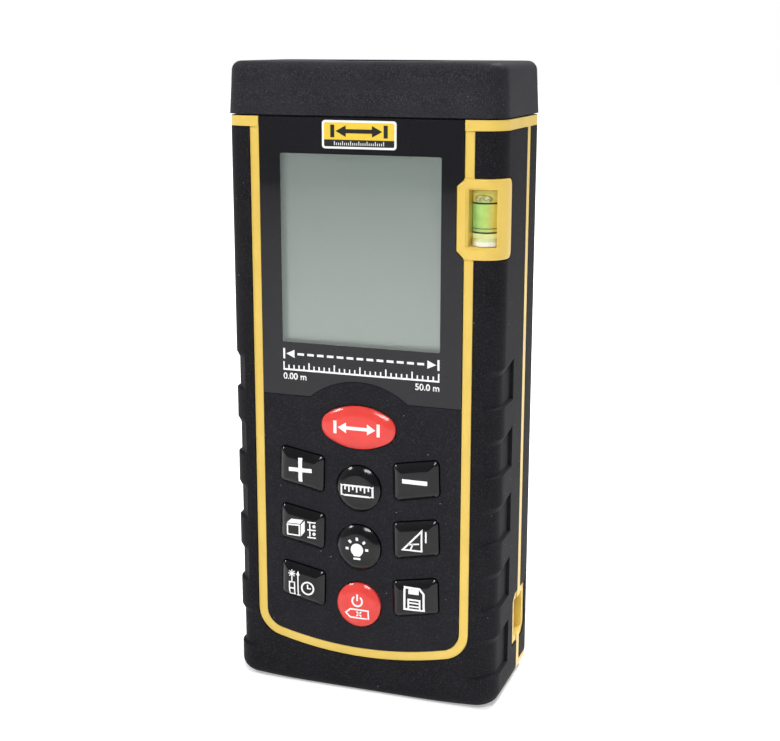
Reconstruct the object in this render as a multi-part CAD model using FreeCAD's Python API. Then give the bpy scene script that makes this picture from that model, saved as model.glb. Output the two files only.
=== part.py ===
import FreeCAD, Part
import math
import os

# Hand-held laser distance meter: a yellow two-part casing with soft black pads, a black nose cap
# over the optics, a display panel above a keypad, a spirit vial in the front right edge and a
# strap eyelet low on the right side.
#
# Millimetres. X runs across the front, Y from front to back, Z from the base to the nose.
# The origin is the centre of the base. Front faces look along -Y.

V = FreeCAD.Vector
FAR = 200.0                 # past every side of the object
ALL = (-FAR, FAR)

# ---------------------------------------------------------------- driving dimensions
BODY_W = 54.5
BODY_D = 28.0
HEIGHT = 123.0
CORNER_R = 4.5              # upright corners of the casing
BASE_EDGE_R = 2.5           # rounding all round the base
FOOT_HALF_W = 12.0          # flat middle of the base
BASE_ARCH_R = 150.0         # rise of the base beside the foot
SHELL_TOP = 113.0
SPLIT_Y = 4.1               # parting line between the two shells, seen from the side
FLOOR_SPLIT_Z = 1.8         # the parting line turns to the back here

PAD_T = 1.0                 # soft pad thickness over the hard shell
WALL_T = 1.4                # hard shell wall
RIB_INSET = 0.25            # yellow ribs lie this far below the pads
SIDE_INSET = 0.05           # the yellow ribs down both sides are nearly flush
GAP = 0.12                  # fine gap between neighbouring skins

STRIPE_W = 1.75             # yellow rib round the front panel
PANEL_HALF_W = 20.15
PANEL_LOW_Z = 9.55
PANEL_ARC_R = 71.0
PANEL_CORNER_R = 4.0
PANEL_SEAM_Z = 60.0         # joint between keypad plate and display lens
SEAM_ARCH_HALF_W = 9.9
SEAM_ARCH_H = 3.6

LENS_FRONT_Y = -13.9
PANEL_BACK_Y = -12.5
AHEAD_Y = -20.0             # in front of everything on the front
LEDGE_BACK_Y = -11.1
LEDGE_W = 2.0
KEYPAD_HIGH_Z = 62.0        # top of the frame's opening behind the keys
DISPLAY_HALF_W = 18.0
DISPLAY_LOW_Z = 67.2
DISPLAY_HIGH_Z = 109.2

BAND_LOW_Z = 111.1          # yellow band under the nose cap
SIDE_STRIPE = (3.1, 5.1)
BASE_BAND = (1.4, 3.6)

BOARD_FRONT_Y = -8.2
BOARD_T = 1.6
BOARD_BACK_Y = BOARD_FRONT_Y + BOARD_T

KEY_TRAVEL = 0.5
KEY_TOP_Y = -15.1
KEY_CLEAR = 0.2
FLANGE_W = 0.7
FLANGE_Y = (-12.5, -11.9)
PLUNGER_R = 1.5
DOME_R = 3.0
DOME_T = 0.4
MAT_Y = (-11.1, -10.1)

VIAL_X = 23.4
VIAL_Y = -10.9
VIAL_R = 2.5
VIAL_LOW_Z = 90.5
VIAL_HIGH_Z = 100.6
VIAL_WALL = 0.4
VIAL_PLUG_T = 1.4
VIAL_BLOCK_X = (19.9, 30.0)
VIAL_BLOCK_BACK_Y = -6.9
BEZEL_PROUD = 0.15          # the vial's surround stands this far off the pads
BEZEL_EDGE_R = 0.45
VIAL_BLOCK_Z = (88.3, 102.4)

CAP_LOW_Z = 113.3
CAP_SKIRT_Z = 110.6
CAP_OVERHANG = 0.05
CAP_DRAFT = 0.45
CAP_WALL = 1.6
CAP_EDGE_R = 1.8
OPTICS_Y = 2.5
RECEIVER_X = -3.9
LASER_X = 6.2
RECEIVER_R = 5.4
LASER_BARREL_R = 2.9
NOSE_POCKET_DEPTH = 1.6
NOSE_FLOOR_T = 1.2

DOOR_HALF_W = 15.5
DOOR_Z = (11.0, 61.0)
DOOR_Y = (12.3, 13.9)
DOOR_CLEAR = 0.25
TONGUE_X = (12.8, 14.8)
TONGUE_ROOM_Z = (9.2, 15.0)  # lets the tongues roll up as the door swings out
BAY_HALF_W = 11.4
BAY_Z = (12.0, 60.0)
BAY_FLOOR_Y = 1.0
BAY_WALL = 1.2
CELL_R = 5.25
CELL_X = 5.6
CELL_Y = 6.4
CELL_LEN = 43.7
CELL_NUB = 0.8
PLATE_T = 0.5
SPRING_R = 2.6
SPRING_WIRE_R = 0.3
SPRING_PITCH = 0.9
SPRING_TURNS = 2
PIN_R = 0.22                # thin component leads

UPPER_SCREW = (21.0, 80.0)
LOWER_SCREW = (14.0, 6.3)
SCREW_R = 1.0
SCREW_HEAD_R = 2.0
SCREW_SEAT_Y = 9.2
BOSS_R = 2.4
BOARD_SCREWS = ((21.2, 66.0), (21.2, 13.5))

EYELET_PIN = (21.6, 4.1)
EYELET_PIN_R = 0.75
EYELET_POCKET = (20.0, (1.2, 7.1), (10.0, 17.7))

# Finger recesses: highest and lowest z at the front, the x where each fades in, and the angle
# round the corner, in degrees from the front, where its floor reaches full depth.
RECESSES = (
    (67.3, 60.0, 24.0, 40.0),
    (54.1, 46.8, 24.0, 40.0),
    (40.9, 33.6, 24.0, 40.0),
    (27.8, 20.4, 24.0, 40.0),
    (14.7, 6.5, 20.9, 12.0),
)
RECESS_DEPTH = 0.6
RECESS_RAMP = 1.3
RECESS_STEP = 0.3
RECESS_END_Y = -3.8
RECESS_TILT = (0.11, 0.03)  # rise towards the back, per mm, of the upper and lower edges

KEYPAD_X = -0.3             # the keys' middle column, just left of the casing's middle

# Left-hand key outlines as (x, z) corners; the right-hand column mirrors them.
QUAD_KEYS = {
    "upper": ((-16.1, 49.8), (-7.1, 48.25), (-7.3, 41.05), (-16.35, 42.85)),
    "middle": ((-16.1, 38.1), (-7.1, 36.55), (-7.3, 29.35), (-16.35, 31.15)),
    "lower": ((-16.1, 26.3), (-7.1, 24.65), (-7.3, 17.45), (-16.35, 19.35)),
}
QUAD_CORNER_R = 0.9
ROUND_KEY_R = 4.5
MEASURE_KEY = (54.8, 7.5, 4.2)
MEASURE_END_R = 2.9
UNIT_KEY_Z = 42.65
LIGHT_KEY_Z = 30.75
OFF_KEY_Z = 18.85
KEY_EDGE_R = 0.55


# ---------------------------------------------------------------- drawing helpers
def place(plane, a, b, level):
    """The 3-D point of (a, b) in the plane xy, xz or yz at the given level."""
    if plane == "xy":
        return V(a, b, level)
    if plane == "xz":
        return V(a, level, b)
    return V(level, a, b)


def outline(plane, level, start, runs):
    """A closed face: each run is (end,) for a straight line or (middle, end) for an arc."""
    edges = []
    last = place(plane, start[0], start[1], level)
    for run in runs:
        points = [place(plane, a, b, level) for a, b in run]
        if len(points) == 1:
            edges.append(Part.LineSegment(last, points[0]).toShape())
        else:
            edges.append(Part.Arc(last, points[0], points[1]).toShape())
        last = points[-1]
    return Part.Face(Part.Wire(edges))


def rounded_polygon(plane, level, corners, radius):
    """A polygon with every corner rounded to the same radius."""
    runs = []
    count = len(corners)
    for index, corner in enumerate(corners):
        here = V(corner[0], corner[1], 0)
        before = V(*corners[index - 1], 0) - here
        after = V(*corners[(index + 1) % count], 0) - here
        before.normalize()
        after.normalize()
        half_angle = 0.5 * math.acos(before.dot(after))
        middle_way = (before + after).normalize()
        reach = radius / math.tan(half_angle)
        begin = here + before * reach
        end = here + after * reach
        middle = here + middle_way * (radius / math.sin(half_angle) - radius)
        runs.append(((begin.x, begin.y),))
        runs.append(((middle.x, middle.y), (end.x, end.y)))
    start = runs.pop(0)[0]
    runs.append((start,))
    return outline(plane, level, start, runs)


def rounded_rect(plane, level, a, b, radius):
    """A rectangle over the ranges a and b with rounded corners."""
    corners = ((a[0], b[0]), (a[1], b[0]), (a[1], b[1]), (a[0], b[1]))
    return rounded_polygon(plane, level, corners, radius)


def block(x, y, z):
    """A box over the three ranges."""
    return Part.makeBox(x[1] - x[0], y[1] - y[0], z[1] - z[0], V(x[0], y[0], z[0]))


def slab(x=ALL, y=ALL, z=ALL):
    """A box that runs past the object wherever no range is given."""
    return block(x, y, z)


def rod_z(x, y, z, radius):
    """An upright cylinder over the range z."""
    return Part.makeCylinder(radius, z[1] - z[0], V(x, y, z[0]), V(0, 0, 1))


def rod_y(x, z, y, radius):
    """A cylinder from front to back over the range y."""
    return Part.makeCylinder(radius, y[1] - y[0], V(x, y[0], z), V(0, 1, 0))


def through_y(face, y):
    """Extrude an xz face drawn at level y[0] back to y[1]."""
    return face.extrude(V(0, y[1] - y[0], 0))


def through_z(face, height):
    """Extrude an xy face upward."""
    return face.extrude(V(0, 0, height))


def frame_z(outer, inner, height):
    """The upright ring between two xy outlines."""
    return through_z(Part.Face(outer), height).cut(through_z(Part.Face(inner), height))


def union(first, *others):
    """The fused solid with leftover seams removed."""
    return first.fuse(list(others)).removeSplitter()


def mirror_x(shape):
    """The same shape on the other side of the casing."""
    return shape.mirror(V(0, 0, 0), V(1, 0, 0))


# ---------------------------------------------------------------- outer forms
def casing_block(inset, top=SHELL_TOP):
    """The casing's outer form moved in by inset, with its softened, slightly arched base."""
    half_w = BODY_W / 2 - inset
    half_d = BODY_D / 2 - inset
    plan = rounded_rect("xy", inset, (-half_w, half_w), (-half_d, half_d), CORNER_R - inset)
    body = plan.extrude(V(0, 0, top - inset))
    arch_r = BASE_ARCH_R - inset
    reach = BODY_W
    angle = math.asin((reach - FOOT_HALF_W) / arch_r)
    middle = (FOOT_HALF_W + arch_r * math.sin(angle / 2), inset + arch_r * (1 - math.cos(angle / 2)))
    end = (reach, inset + arch_r * (1 - math.cos(angle)))
    under = outline("xz", -BODY_D, (0, -BODY_D), (
        ((0, inset),),
        ((FOOT_HALF_W, inset),),
        (middle, end),
        ((reach, -BODY_D),),
        ((0, -BODY_D),),
    ))
    wedge = through_y(under, (-BODY_D, BODY_D))
    body = body.cut([wedge, mirror_x(wedge)])
    base_edges = [edge for edge in body.Edges if is_base_rim(edge, half_w, half_d)]
    return body.makeFillet(max(BASE_EDGE_R - inset, 0.3), base_edges)


def is_base_rim(edge, half_w, half_d):
    """True for the edges where the sides meet the base."""
    box = edge.BoundBox
    low = box.ZMax < 4.0
    inner = abs(box.XMin + box.XMax) < 0.01 and box.YLength > half_d and box.XLength < 0.01
    crossing = box.YLength > 1.9 * half_d and box.XLength < 0.01 and abs(box.XMin) < half_w - 0.01
    return low and not inner and not crossing


def panel_face(offset, level, low=None):
    """The front panel's outline grown by offset: arched foot, rounded corners, straight sides."""
    half_w = PANEL_HALF_W + offset
    foot = PANEL_LOW_Z - offset
    arc_r = PANEL_ARC_R + offset
    corner_r = PANEL_CORNER_R + offset
    arc_z = foot + arc_r
    corner_x = half_w - corner_r
    corner_z = arc_z - math.sqrt((arc_r - corner_r) ** 2 - corner_x ** 2)
    lean = math.atan2(corner_x, arc_z - corner_z)
    touch = (arc_r * math.sin(lean), arc_z - arc_r * math.cos(lean))
    bend = (math.pi / 2 - lean) / 2 + lean
    middle = (corner_x + corner_r * math.sin(bend), corner_z - corner_r * math.cos(bend))
    top = SHELL_TOP if low is None else low
    return outline("xz", level, (-touch[0], touch[1]), (
        ((0, foot), touch),
        (middle, (half_w, corner_z)),
        ((half_w, top),),
        ((-half_w, top),),
        ((-half_w, corner_z),),
        ((-middle[0], middle[1]), (-touch[0], touch[1])),
    ))


def seam_block(y, clearance, above):
    """Everything above the arched seam, or below it, between two depths."""
    rise = SEAM_ARCH_H
    half = SEAM_ARCH_HALF_W
    shift = clearance if above else -clearance
    far = HEIGHT + 10 if above else -10
    wide = BODY_W
    face = outline("xz", y[0], (-wide, PANEL_SEAM_Z + shift), (
        ((KEYPAD_X - half, PANEL_SEAM_Z + shift),),
        ((KEYPAD_X, PANEL_SEAM_Z + rise + shift), (KEYPAD_X + half, PANEL_SEAM_Z + shift)),
        ((wide, PANEL_SEAM_Z + shift),),
        ((wide, far),),
        ((-wide, far),),
        ((-wide, PANEL_SEAM_Z + shift),),
    ))
    return through_y(face, y)


def bezel_region(grow):
    """The block over the front right edge that the vial's yellow surround fills."""
    left = 18.7 - grow
    low = 88.0 - grow
    high = 102.7 + grow
    face = outline("xz", -16.0, (left, 89.6 - grow), (
        ((20.0, low + 0.3),),
        ((20.0, low),),
        ((32.0, low),),
        ((32.0, high),),
        ((20.0, high),),
        ((20.0, high - 0.3),),
        ((left, 101.3 + grow),),
        ((left, 89.6 - grow),),
    ))
    front = through_y(face, (-16.0, -8.0 + grow))
    side = rounded_rect("yz", 10.0, (-20.0, -8.0 + grow), (low, high), 1.5).extrude(V(25.0, 0, 0))
    return front.common(side)


def vial_bezel():
    """The vial's surround with its outer edges rounded over."""
    bezel = casing_block(-BEZEL_PROUD).common(bezel_region(0))
    corner = V(BODY_W / 2 - CORNER_R, -BODY_D / 2 + CORNER_R, 0)

    def on_skin(point):
        """True on the outer surface: front, rounded corner and side."""
        x = max(point.x - corner.x, 0)
        y = max(corner.y - point.y, 0)
        return abs(math.hypot(x, y) - CORNER_R - BEZEL_PROUD) < 0.001

    edges = []
    for edge in bezel.Edges:
        box = edge.BoundBox
        seam = box.ZLength > 5 and (abs(box.XMin - corner.x) < 0.01 or abs(box.YMin - corner.y) < 0.01)
        ends_on_skin = all(on_skin(vertex.Point) for vertex in edge.Vertexes)
        middle = edge.valueAt((edge.FirstParameter + edge.LastParameter) / 2)
        if ends_on_skin and on_skin(middle) and not seam:
            edges.append(edge)
    return bezel.makeFillet(BEZEL_EDGE_R, edges)


def eyelet_region(grow):
    """The block on the right side that the strap eyelet's yellow frame fills."""
    front = -0.4 - grow
    back = 8.6 + grow
    low = 8.5 - grow
    high = 19.2 + grow
    face = outline("yz", 18.4, (front, low), (
        ((front, 17.9),),
        ((1.0, high),),
        ((back, high),),
        ((back, 10.2),),
        ((7.0, low),),
        ((front, low),),
    ))
    return face.extrude(V(12.0, 0, 0))


# ---------------------------------------------------------------- hard shells
def side_stripes(y):
    """The room of the yellow ribs down both sides, over the given depths."""
    return slab(y=y, z=(BASE_BAND[0], SHELL_TOP))


def vial_pocket():
    """The opening in the bezel that the vial drops into from the front."""
    half_w = VIAL_R + 0.05
    z = (VIAL_LOW_Z - 0.1, VIAL_HIGH_Z + 0.1)
    window = block((VIAL_X - half_w, VIAL_X + half_w), (AHEAD_Y, VIAL_Y), z)
    bed = rod_z(VIAL_X, VIAL_Y, z, half_w)
    spread = 0.6
    wide_x = (VIAL_X - half_w - spread, VIAL_X + half_w + spread)
    outer = rounded_rect("xz", -14.3, wide_x, (z[0] - spread, z[1] + spread), 0.5).OuterWire
    inner = rounded_rect("xz", -13.6, (VIAL_X - half_w, VIAL_X + half_w), z, 0.3).OuterWire
    bevel = Part.makeLoft([outer, inner], True, True)
    return window.fuse([bed, bevel])


def boss(x, z, y, radius, hole_r, hole_y):
    """A screw boss from front to back with its hole."""
    return rod_y(x, z, y, radius).cut(rod_y(x, z, hole_y, hole_r))


def front_shell():
    """Front half of the casing with the panel frame, base tongue, bezel and eyelet half."""
    skin = casing_block(PAD_T)
    ribs = casing_block(RIB_INSET)
    ahead = slab(y=(-FAR, SPLIT_Y))
    below = slab(z=(-FAR, FLOOR_SPLIT_Z))
    hollow = casing_block(PAD_T + WALL_T, HEIGHT).common(ahead)
    shell = skin.common(ahead.fuse(below)).cut(hollow)

    frame = through_y(panel_face(STRIPE_W, AHEAD_Y), (AHEAD_Y, LEDGE_BACK_Y)).common(ribs)
    band = casing_block(0).common(slab(y=(-FAR, SPLIT_Y), z=(BAND_LOW_Z, SHELL_TOP))).cut(hollow)
    stripes = casing_block(SIDE_INSET).common(side_stripes((SIDE_STRIPE[0], SPLIT_Y))).cut(hollow)
    base_room = slab(y=(SIDE_STRIPE[0], FAR), z=(BASE_BAND[0], FLOOR_SPLIT_Z))
    base_band = casing_block(SIDE_INSET).common(base_room)
    eyelet = ribs.common(eyelet_region(0)).common(ahead)
    bezel = vial_bezel()
    vial_block = skin.common(block(VIAL_BLOCK_X, (AHEAD_Y, VIAL_BLOCK_BACK_Y), VIAL_BLOCK_Z))
    shell = union(shell, frame, band, stripes, base_band, eyelet, bezel, vial_block)

    bosses = []
    for side in (-1, 1):
        for x, z in (UPPER_SCREW, LOWER_SCREW):
            bosses.append(boss(side * x, z, (-11.6, SPLIT_Y), BOSS_R, SCREW_R, (-5.0, SPLIT_Y)))
        for x, z in BOARD_SCREWS:
            bosses.append(boss(side * x, z, (-11.6, BOARD_FRONT_Y), 1.9, 0.8, (-10.6, BOARD_FRONT_Y)))
    shell = union(shell, *bosses)

    panel_room = through_y(panel_face(0, AHEAD_Y, HEIGHT), (AHEAD_Y, PANEL_BACK_Y))
    through_ledge = (AHEAD_Y, LEDGE_BACK_Y + 0.5)
    keypad_hole = through_y(panel_face(-LEDGE_W, AHEAD_Y, KEYPAD_HIGH_Z), through_ledge)
    display_hole = block((-DISPLAY_HALF_W, DISPLAY_HALF_W), through_ledge, (DISPLAY_LOW_Z, DISPLAY_HIGH_Z))
    shell = shell.cut([panel_room.cut(bezel_region(0)), keypad_hole, display_hole, vial_pocket()])
    return shell.cut([eyelet_pocket(), pin_bore()])


def eyelet_pocket():
    """The open pocket on the right side that a strap's loop goes into."""
    floor_x, y, z = EYELET_POCKET
    return rounded_rect("yz", floor_x, y, z, 0.6).extrude(V(12.0, 0, 0))


def pin_bore():
    """The hole that the strap pin lies in."""
    return rod_z(EYELET_PIN[0], EYELET_PIN[1], (9.0, 18.7), EYELET_PIN_R + 0.02)


def rear_shell():
    """Rear half of the casing with the battery bay, screw bosses and eyelet half."""
    skin = casing_block(PAD_T)
    ribs = casing_block(RIB_INSET)
    behind = slab(y=(SPLIT_Y, FAR), z=(FLOOR_SPLIT_Z, FAR))
    hollow = casing_block(PAD_T + WALL_T, HEIGHT).common(slab(z=(FLOOR_SPLIT_Z + WALL_T, FAR)))
    shell = skin.common(behind).cut(hollow)
    band = casing_block(0).common(behind).common(slab(z=(BAND_LOW_Z, SHELL_TOP))).cut(hollow)
    stripes = casing_block(SIDE_INSET).common(behind)
    stripes = stripes.common(side_stripes((SPLIT_Y, SIDE_STRIPE[1]))).cut(hollow)
    base_room = slab(z=(FLOOR_SPLIT_Z, BASE_BAND[1]))
    base_band = casing_block(SIDE_INSET).common(behind).common(base_room).cut(hollow)
    eyelet = ribs.common(eyelet_region(0)).common(behind)
    bay = block((-BAY_HALF_W - BAY_WALL, BAY_HALF_W + BAY_WALL), (BAY_FLOOR_Y - BAY_WALL, 11.8),
                (BAY_Z[0] - BAY_WALL, BAY_Z[1] + BAY_WALL))
    rim = block((-17.2, 17.2), (10.8, 13.0), (9.0, 62.6))
    posts = []
    for side in (-1, 1):
        for x, z in (UPPER_SCREW, LOWER_SCREW):
            posts.append(rod_y(side * x, z, (SPLIT_Y, 12.0), BOSS_R))
    shell = union(shell, band, stripes, base_band, eyelet, bay, rim, *posts)

    cuts = [
        block((-BAY_HALF_W, BAY_HALF_W), (BAY_FLOOR_Y, FAR), BAY_Z),
        door_room(),
        eyelet_pocket(),
        pin_bore(),
    ]
    for side in (-1, 1):
        low_x, high_x = sorted((side * (TONGUE_X[0] - 0.2), side * (TONGUE_X[1] + 0.2)))
        cuts.append(block((low_x, high_x), (10.0, 12.4), TONGUE_ROOM_Z))
        for x, z in (UPPER_SCREW, LOWER_SCREW):
            cuts.append(rod_y(side * x, z, (SPLIT_Y - 1, FAR), SCREW_R + 0.25))
            cuts.append(rod_y(side * x, z, (SCREW_SEAT_Y, FAR), SCREW_HEAD_R + 0.2))
    return shell.cut(cuts)


def door_room():
    """The recess that the battery door lies in."""
    x = (-DOOR_HALF_W - DOOR_CLEAR, DOOR_HALF_W + DOOR_CLEAR)
    z = (DOOR_Z[0] - DOOR_CLEAR, DOOR_Z[1] + DOOR_CLEAR)
    return through_y(rounded_rect("xz", DOOR_Y[0] - 0.1, x, z, 1.5), (DOOR_Y[0] - 0.1, FAR))


# ---------------------------------------------------------------- soft pads
def recess_section(side, fade_x, turn, z, slope, depth):
    """One cross-section of a finger recess: it fades in from the front and wraps the corner."""
    corner = V(BODY_W / 2 - CORNER_R, -BODY_D / 2 + CORNER_R, 0)
    across = max(fade_x - corner.x, 0.0)
    fade_y = corner.y - math.sqrt(CORNER_R ** 2 - across ** 2)
    radius = CORNER_R - depth
    turn_points = []
    for angle in (turn, (turn + math.pi / 2) / 2, math.pi / 2):
        turn_points.append((corner.x + radius * math.sin(angle), corner.y - radius * math.cos(angle)))
    outer_x = BODY_W / 2 + 3
    outer_y = -BODY_D / 2 - 3

    def at(x, y):
        return V(side * x, y, z + slope * (y + BODY_D / 2))

    edges = [
        Part.LineSegment(at(fade_x, fade_y), at(*turn_points[0])).toShape(),
        Part.Arc(at(*turn_points[0]), at(*turn_points[1]), at(*turn_points[2])).toShape(),
    ]
    path = (turn_points[2], (turn_points[2][0], RECESS_END_Y), (outer_x, RECESS_END_Y),
            (outer_x, outer_y), (fade_x, outer_y), (fade_x, fade_y))
    for begin, end in zip(path, path[1:]):
        edges.append(Part.LineSegment(at(*begin), at(*end)).toShape())
    return Part.Wire(edges)


def finger_recesses():
    """The five finger recesses down each front corner."""
    cutters = []
    for side in (-1, 1):
        for high, low, fade_x, turn in RECESSES:
            levels = (
                (high, RECESS_TILT[0], -0.03),
                (high - RECESS_RAMP, RECESS_TILT[0], RECESS_DEPTH),
                (low + RECESS_STEP, RECESS_TILT[1], RECESS_DEPTH),
                (low, RECESS_TILT[1], -0.03),
            )
            wires = [recess_section(side, fade_x, math.radians(turn), z, slope, depth)
                     for z, slope, depth in levels]
            cutters.append(Part.makeLoft(wires, True, True))
    return cutters


def front_grip():
    """Soft pad round the front corners, the sides up to the stripe, and the whole base."""
    pad = casing_block(0).cut(casing_block(PAD_T))
    room = slab(y=(-FAR, SIDE_STRIPE[0] - GAP), z=(-FAR, BAND_LOW_Z - GAP))
    under = slab(z=(-FAR, BASE_BAND[0] - GAP))
    pad = pad.common(room.fuse(under))
    window = through_y(panel_face(STRIPE_W + GAP, AHEAD_Y, HEIGHT), (AHEAD_Y, LEDGE_BACK_Y))
    return pad.cut([window, bezel_region(GAP), eyelet_region(GAP)] + finger_recesses())


def rear_grip():
    """Soft pad over the back with room for the battery door, screws and label."""
    pad = casing_block(0).cut(casing_block(PAD_T))
    room = slab(y=(SIDE_STRIPE[1] + GAP, FAR), z=(BASE_BAND[1] + GAP, BAND_LOW_Z - GAP))
    cuts = [door_room(), eyelet_region(GAP), label_shape(0.1, FAR)]
    for side in (-1, 1):
        for x, z in (UPPER_SCREW, LOWER_SCREW):
            cuts.append(rod_y(side * x, z, (SCREW_SEAT_Y, FAR), SCREW_HEAD_R + 0.3))
    return pad.common(room).cut(cuts)


def label_shape(grow, back_y):
    """The plain label's outline on the back, extruded to back_y."""
    face = rounded_rect("xz", 13.6, (-18.0 - grow, 18.0 + grow), (86.0 - grow, 106.0 + grow), 1.5)
    return through_y(face, (13.6, back_y))


def rear_label():
    """Plain metal label let into the rear pad."""
    return label_shape(0, 13.9)


# ---------------------------------------------------------------- nose cap and optics
def cap_section(z, inset, radius):
    """The cap's outline at one height."""
    half_w = BODY_W / 2 + CAP_OVERHANG - inset
    half_d = BODY_D / 2 + CAP_OVERHANG - inset
    return rounded_rect("xy", z, (-half_w, half_w), (-half_d, half_d), radius).OuterWire


def nose_cap():
    """Black end cap: slight draft, rounded rim and a sunk window for the two optics."""
    outer = Part.makeLoft([cap_section(CAP_LOW_Z, 0, 4.0), cap_section(HEIGHT, CAP_DRAFT, 4.0)], True, True)
    rim = [edge for edge in outer.Edges if edge.BoundBox.ZMin > HEIGHT - 0.01]
    outer = outer.makeFillet(CAP_EDGE_R, rim)
    floor_z = HEIGHT - NOSE_POCKET_DEPTH - NOSE_FLOOR_T
    inside = [cap_section(CAP_LOW_Z, CAP_WALL, 2.6), cap_section(floor_z, CAP_WALL + CAP_DRAFT, 2.6)]
    cap = outer.cut(Part.makeLoft(inside, True, True))
    skirt = cap_section(CAP_SKIRT_Z, PAD_T + WALL_T + CAP_OVERHANG + 0.15, 2.4)
    skirt_inner = cap_section(CAP_SKIRT_Z, PAD_T + WALL_T + CAP_OVERHANG + 1.15, 1.4)
    ring = frame_z(skirt, skirt_inner, CAP_LOW_Z + 0.1 - CAP_SKIRT_Z)
    root = frame_z(cap_section(CAP_LOW_Z, 1.2, 3.0), skirt_hole(), 1.2)
    posts = [rod_z(side * 14.5, OPTICS_Y, (110.0, floor_z + 0.2), 2.3) for side in (-1, 1)]
    cap = union(cap, ring, root, *posts)
    cuts = [
        block((-22.5, 22.5), (AHEAD_Y, LEDGE_BACK_Y + 0.2), (0, CAP_LOW_Z)),
        through_z(rounded_rect("xy", HEIGHT - NOSE_POCKET_DEPTH, (-10.2, 10.2), (-4.5, 9.5), 1.5), 10),
        rod_z(RECEIVER_X, OPTICS_Y, ALL, RECEIVER_R - 0.3),
        rod_z(LASER_X, OPTICS_Y, ALL, 2.3),
    ]
    for side in (-1, 1):
        cuts.append(rod_z(side * 14.5, OPTICS_Y, (105, 118), SCREW_R - 0.1))
    return cap.cut(cuts)


def skirt_hole():
    """Inner outline of the step that joins the skirt to the cap's wall."""
    return cap_section(CAP_LOW_Z, PAD_T + WALL_T + CAP_OVERHANG + 1.15, 1.4)


def nose_seal():
    """Gasket between the cap and the shells, set back to leave a fine groove."""
    outer = cap_section(SHELL_TOP, CAP_OVERHANG + 0.7, 4.0)
    inner = cap_section(SHELL_TOP, CAP_OVERHANG + PAD_T + WALL_T - 0.1, 2.6)
    return frame_z(outer, inner, CAP_LOW_Z - SHELL_TOP)


def optics_top():
    """Height of the underside of the cap's window floor."""
    return HEIGHT - NOSE_POCKET_DEPTH - NOSE_FLOOR_T


def receiver_lens():
    """Plano-convex receiver lens: flat back, domed front in the cap's opening."""
    top = optics_top()
    disc = rod_z(RECEIVER_X, OPTICS_Y, (top - 1.6, top), RECEIVER_R)
    ball_r = 16.0
    neck_r = RECEIVER_R - 0.4
    drop = math.sqrt(ball_r ** 2 - neck_r ** 2)
    ball = Part.makeSphere(ball_r, V(RECEIVER_X, OPTICS_Y, top - drop))
    dome = ball.common(rod_z(RECEIVER_X, OPTICS_Y, (top - 0.2, top + 3), neck_r))
    return union(disc, dome)


def laser_window():
    """Small flat window over the laser's outlet."""
    top = optics_top()
    return rod_z(LASER_X, OPTICS_Y, (top - 0.8, top), 2.8)


def optics_chassis():
    """Cast block with the receiver's light cone and the laser's bore, screwed under the cap."""
    top = optics_top() - 1.6
    body = through_z(rounded_rect("xy", 78.0, (-10.2, 10.2), (-3.9, 8.9), 1.5), top - 78.0)
    ears = block((-17.5, 17.5), (-1.0, 6.0), (107.8, 110.0))
    body = union(body, ears)
    cone = Part.makeCone(1.9, RECEIVER_R - 0.5, top - 83.0, V(RECEIVER_X, OPTICS_Y, 83.0), V(0, 0, 1))
    cuts = [
        cone,
        rod_z(RECEIVER_X, OPTICS_Y, (70, 83.5), 1.9),
        rod_z(LASER_X, OPTICS_Y, (88.0, 130), LASER_BARREL_R + 0.02),
        rod_z(LASER_X, OPTICS_Y, (70, 88.5), 1.2),
    ]
    for side in (-1, 1):
        cuts.append(rod_z(side * 14.5, OPTICS_Y, (105, 112), SCREW_R + 0.1))
    return body.cut(cuts)


def laser_barrel():
    """Brass barrel that holds the diode and its lens in line."""
    barrel = rod_z(LASER_X, OPTICS_Y, (88.0, 116.5), LASER_BARREL_R)
    bores = (((88.0, 91.4), 2.3), ((91.0, 114.0), 1.6), ((114.0, 117.0), 2.2))
    return barrel.cut([rod_z(LASER_X, OPTICS_Y, heights, radius) for heights, radius in bores])


def collimator_lens():
    """Small lens at the top of the laser barrel."""
    disc = rod_z(LASER_X, OPTICS_Y, (114.0, 115.0), 2.2)
    ball = Part.makeSphere(4.0, V(LASER_X, OPTICS_Y, 112.0))
    return union(disc, ball.common(rod_z(LASER_X, OPTICS_Y, (114.5, 117), 1.9)))


def laser_diode():
    """Laser diode can with its three pins."""
    base = rod_z(LASER_X, OPTICS_Y, (88.6, 89.6), 2.25)
    can = rod_z(LASER_X, OPTICS_Y, (89.5, 91.0), 1.5)
    pin_places = ((-0.7, 0), (0.7, 0), (0, 0.7))
    pins = [rod_z(LASER_X + dx, OPTICS_Y + dy, (84.0, 88.7), PIN_R) for dx, dy in pin_places]
    return union(base, can, *pins)


def optical_filter():
    """Red filter disc in front of the photodiode."""
    return rod_z(RECEIVER_X, OPTICS_Y, (82.0, 82.7), 1.9)


def photodiode():
    """Receiver photodiode can with its two pins through the receiver board."""
    can = rod_z(RECEIVER_X, OPTICS_Y, (78.0, 81.0), 1.8)
    pins = [rod_z(RECEIVER_X + dx, OPTICS_Y, (75.6, 78.1), PIN_R) for dx in (-0.8, 0.8)]
    return union(can, *pins)


def receiver_board():
    """Small board across the foot of the optics chassis."""
    board = block((-10.0, 10.0), (-3.5, 8.5), (76.6, 78.0))
    holes = [rod_z(RECEIVER_X + dx, OPTICS_Y, (76, 79), PIN_R + 0.02) for dx in (-0.8, 0.8)]
    return board.cut(holes)


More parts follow.
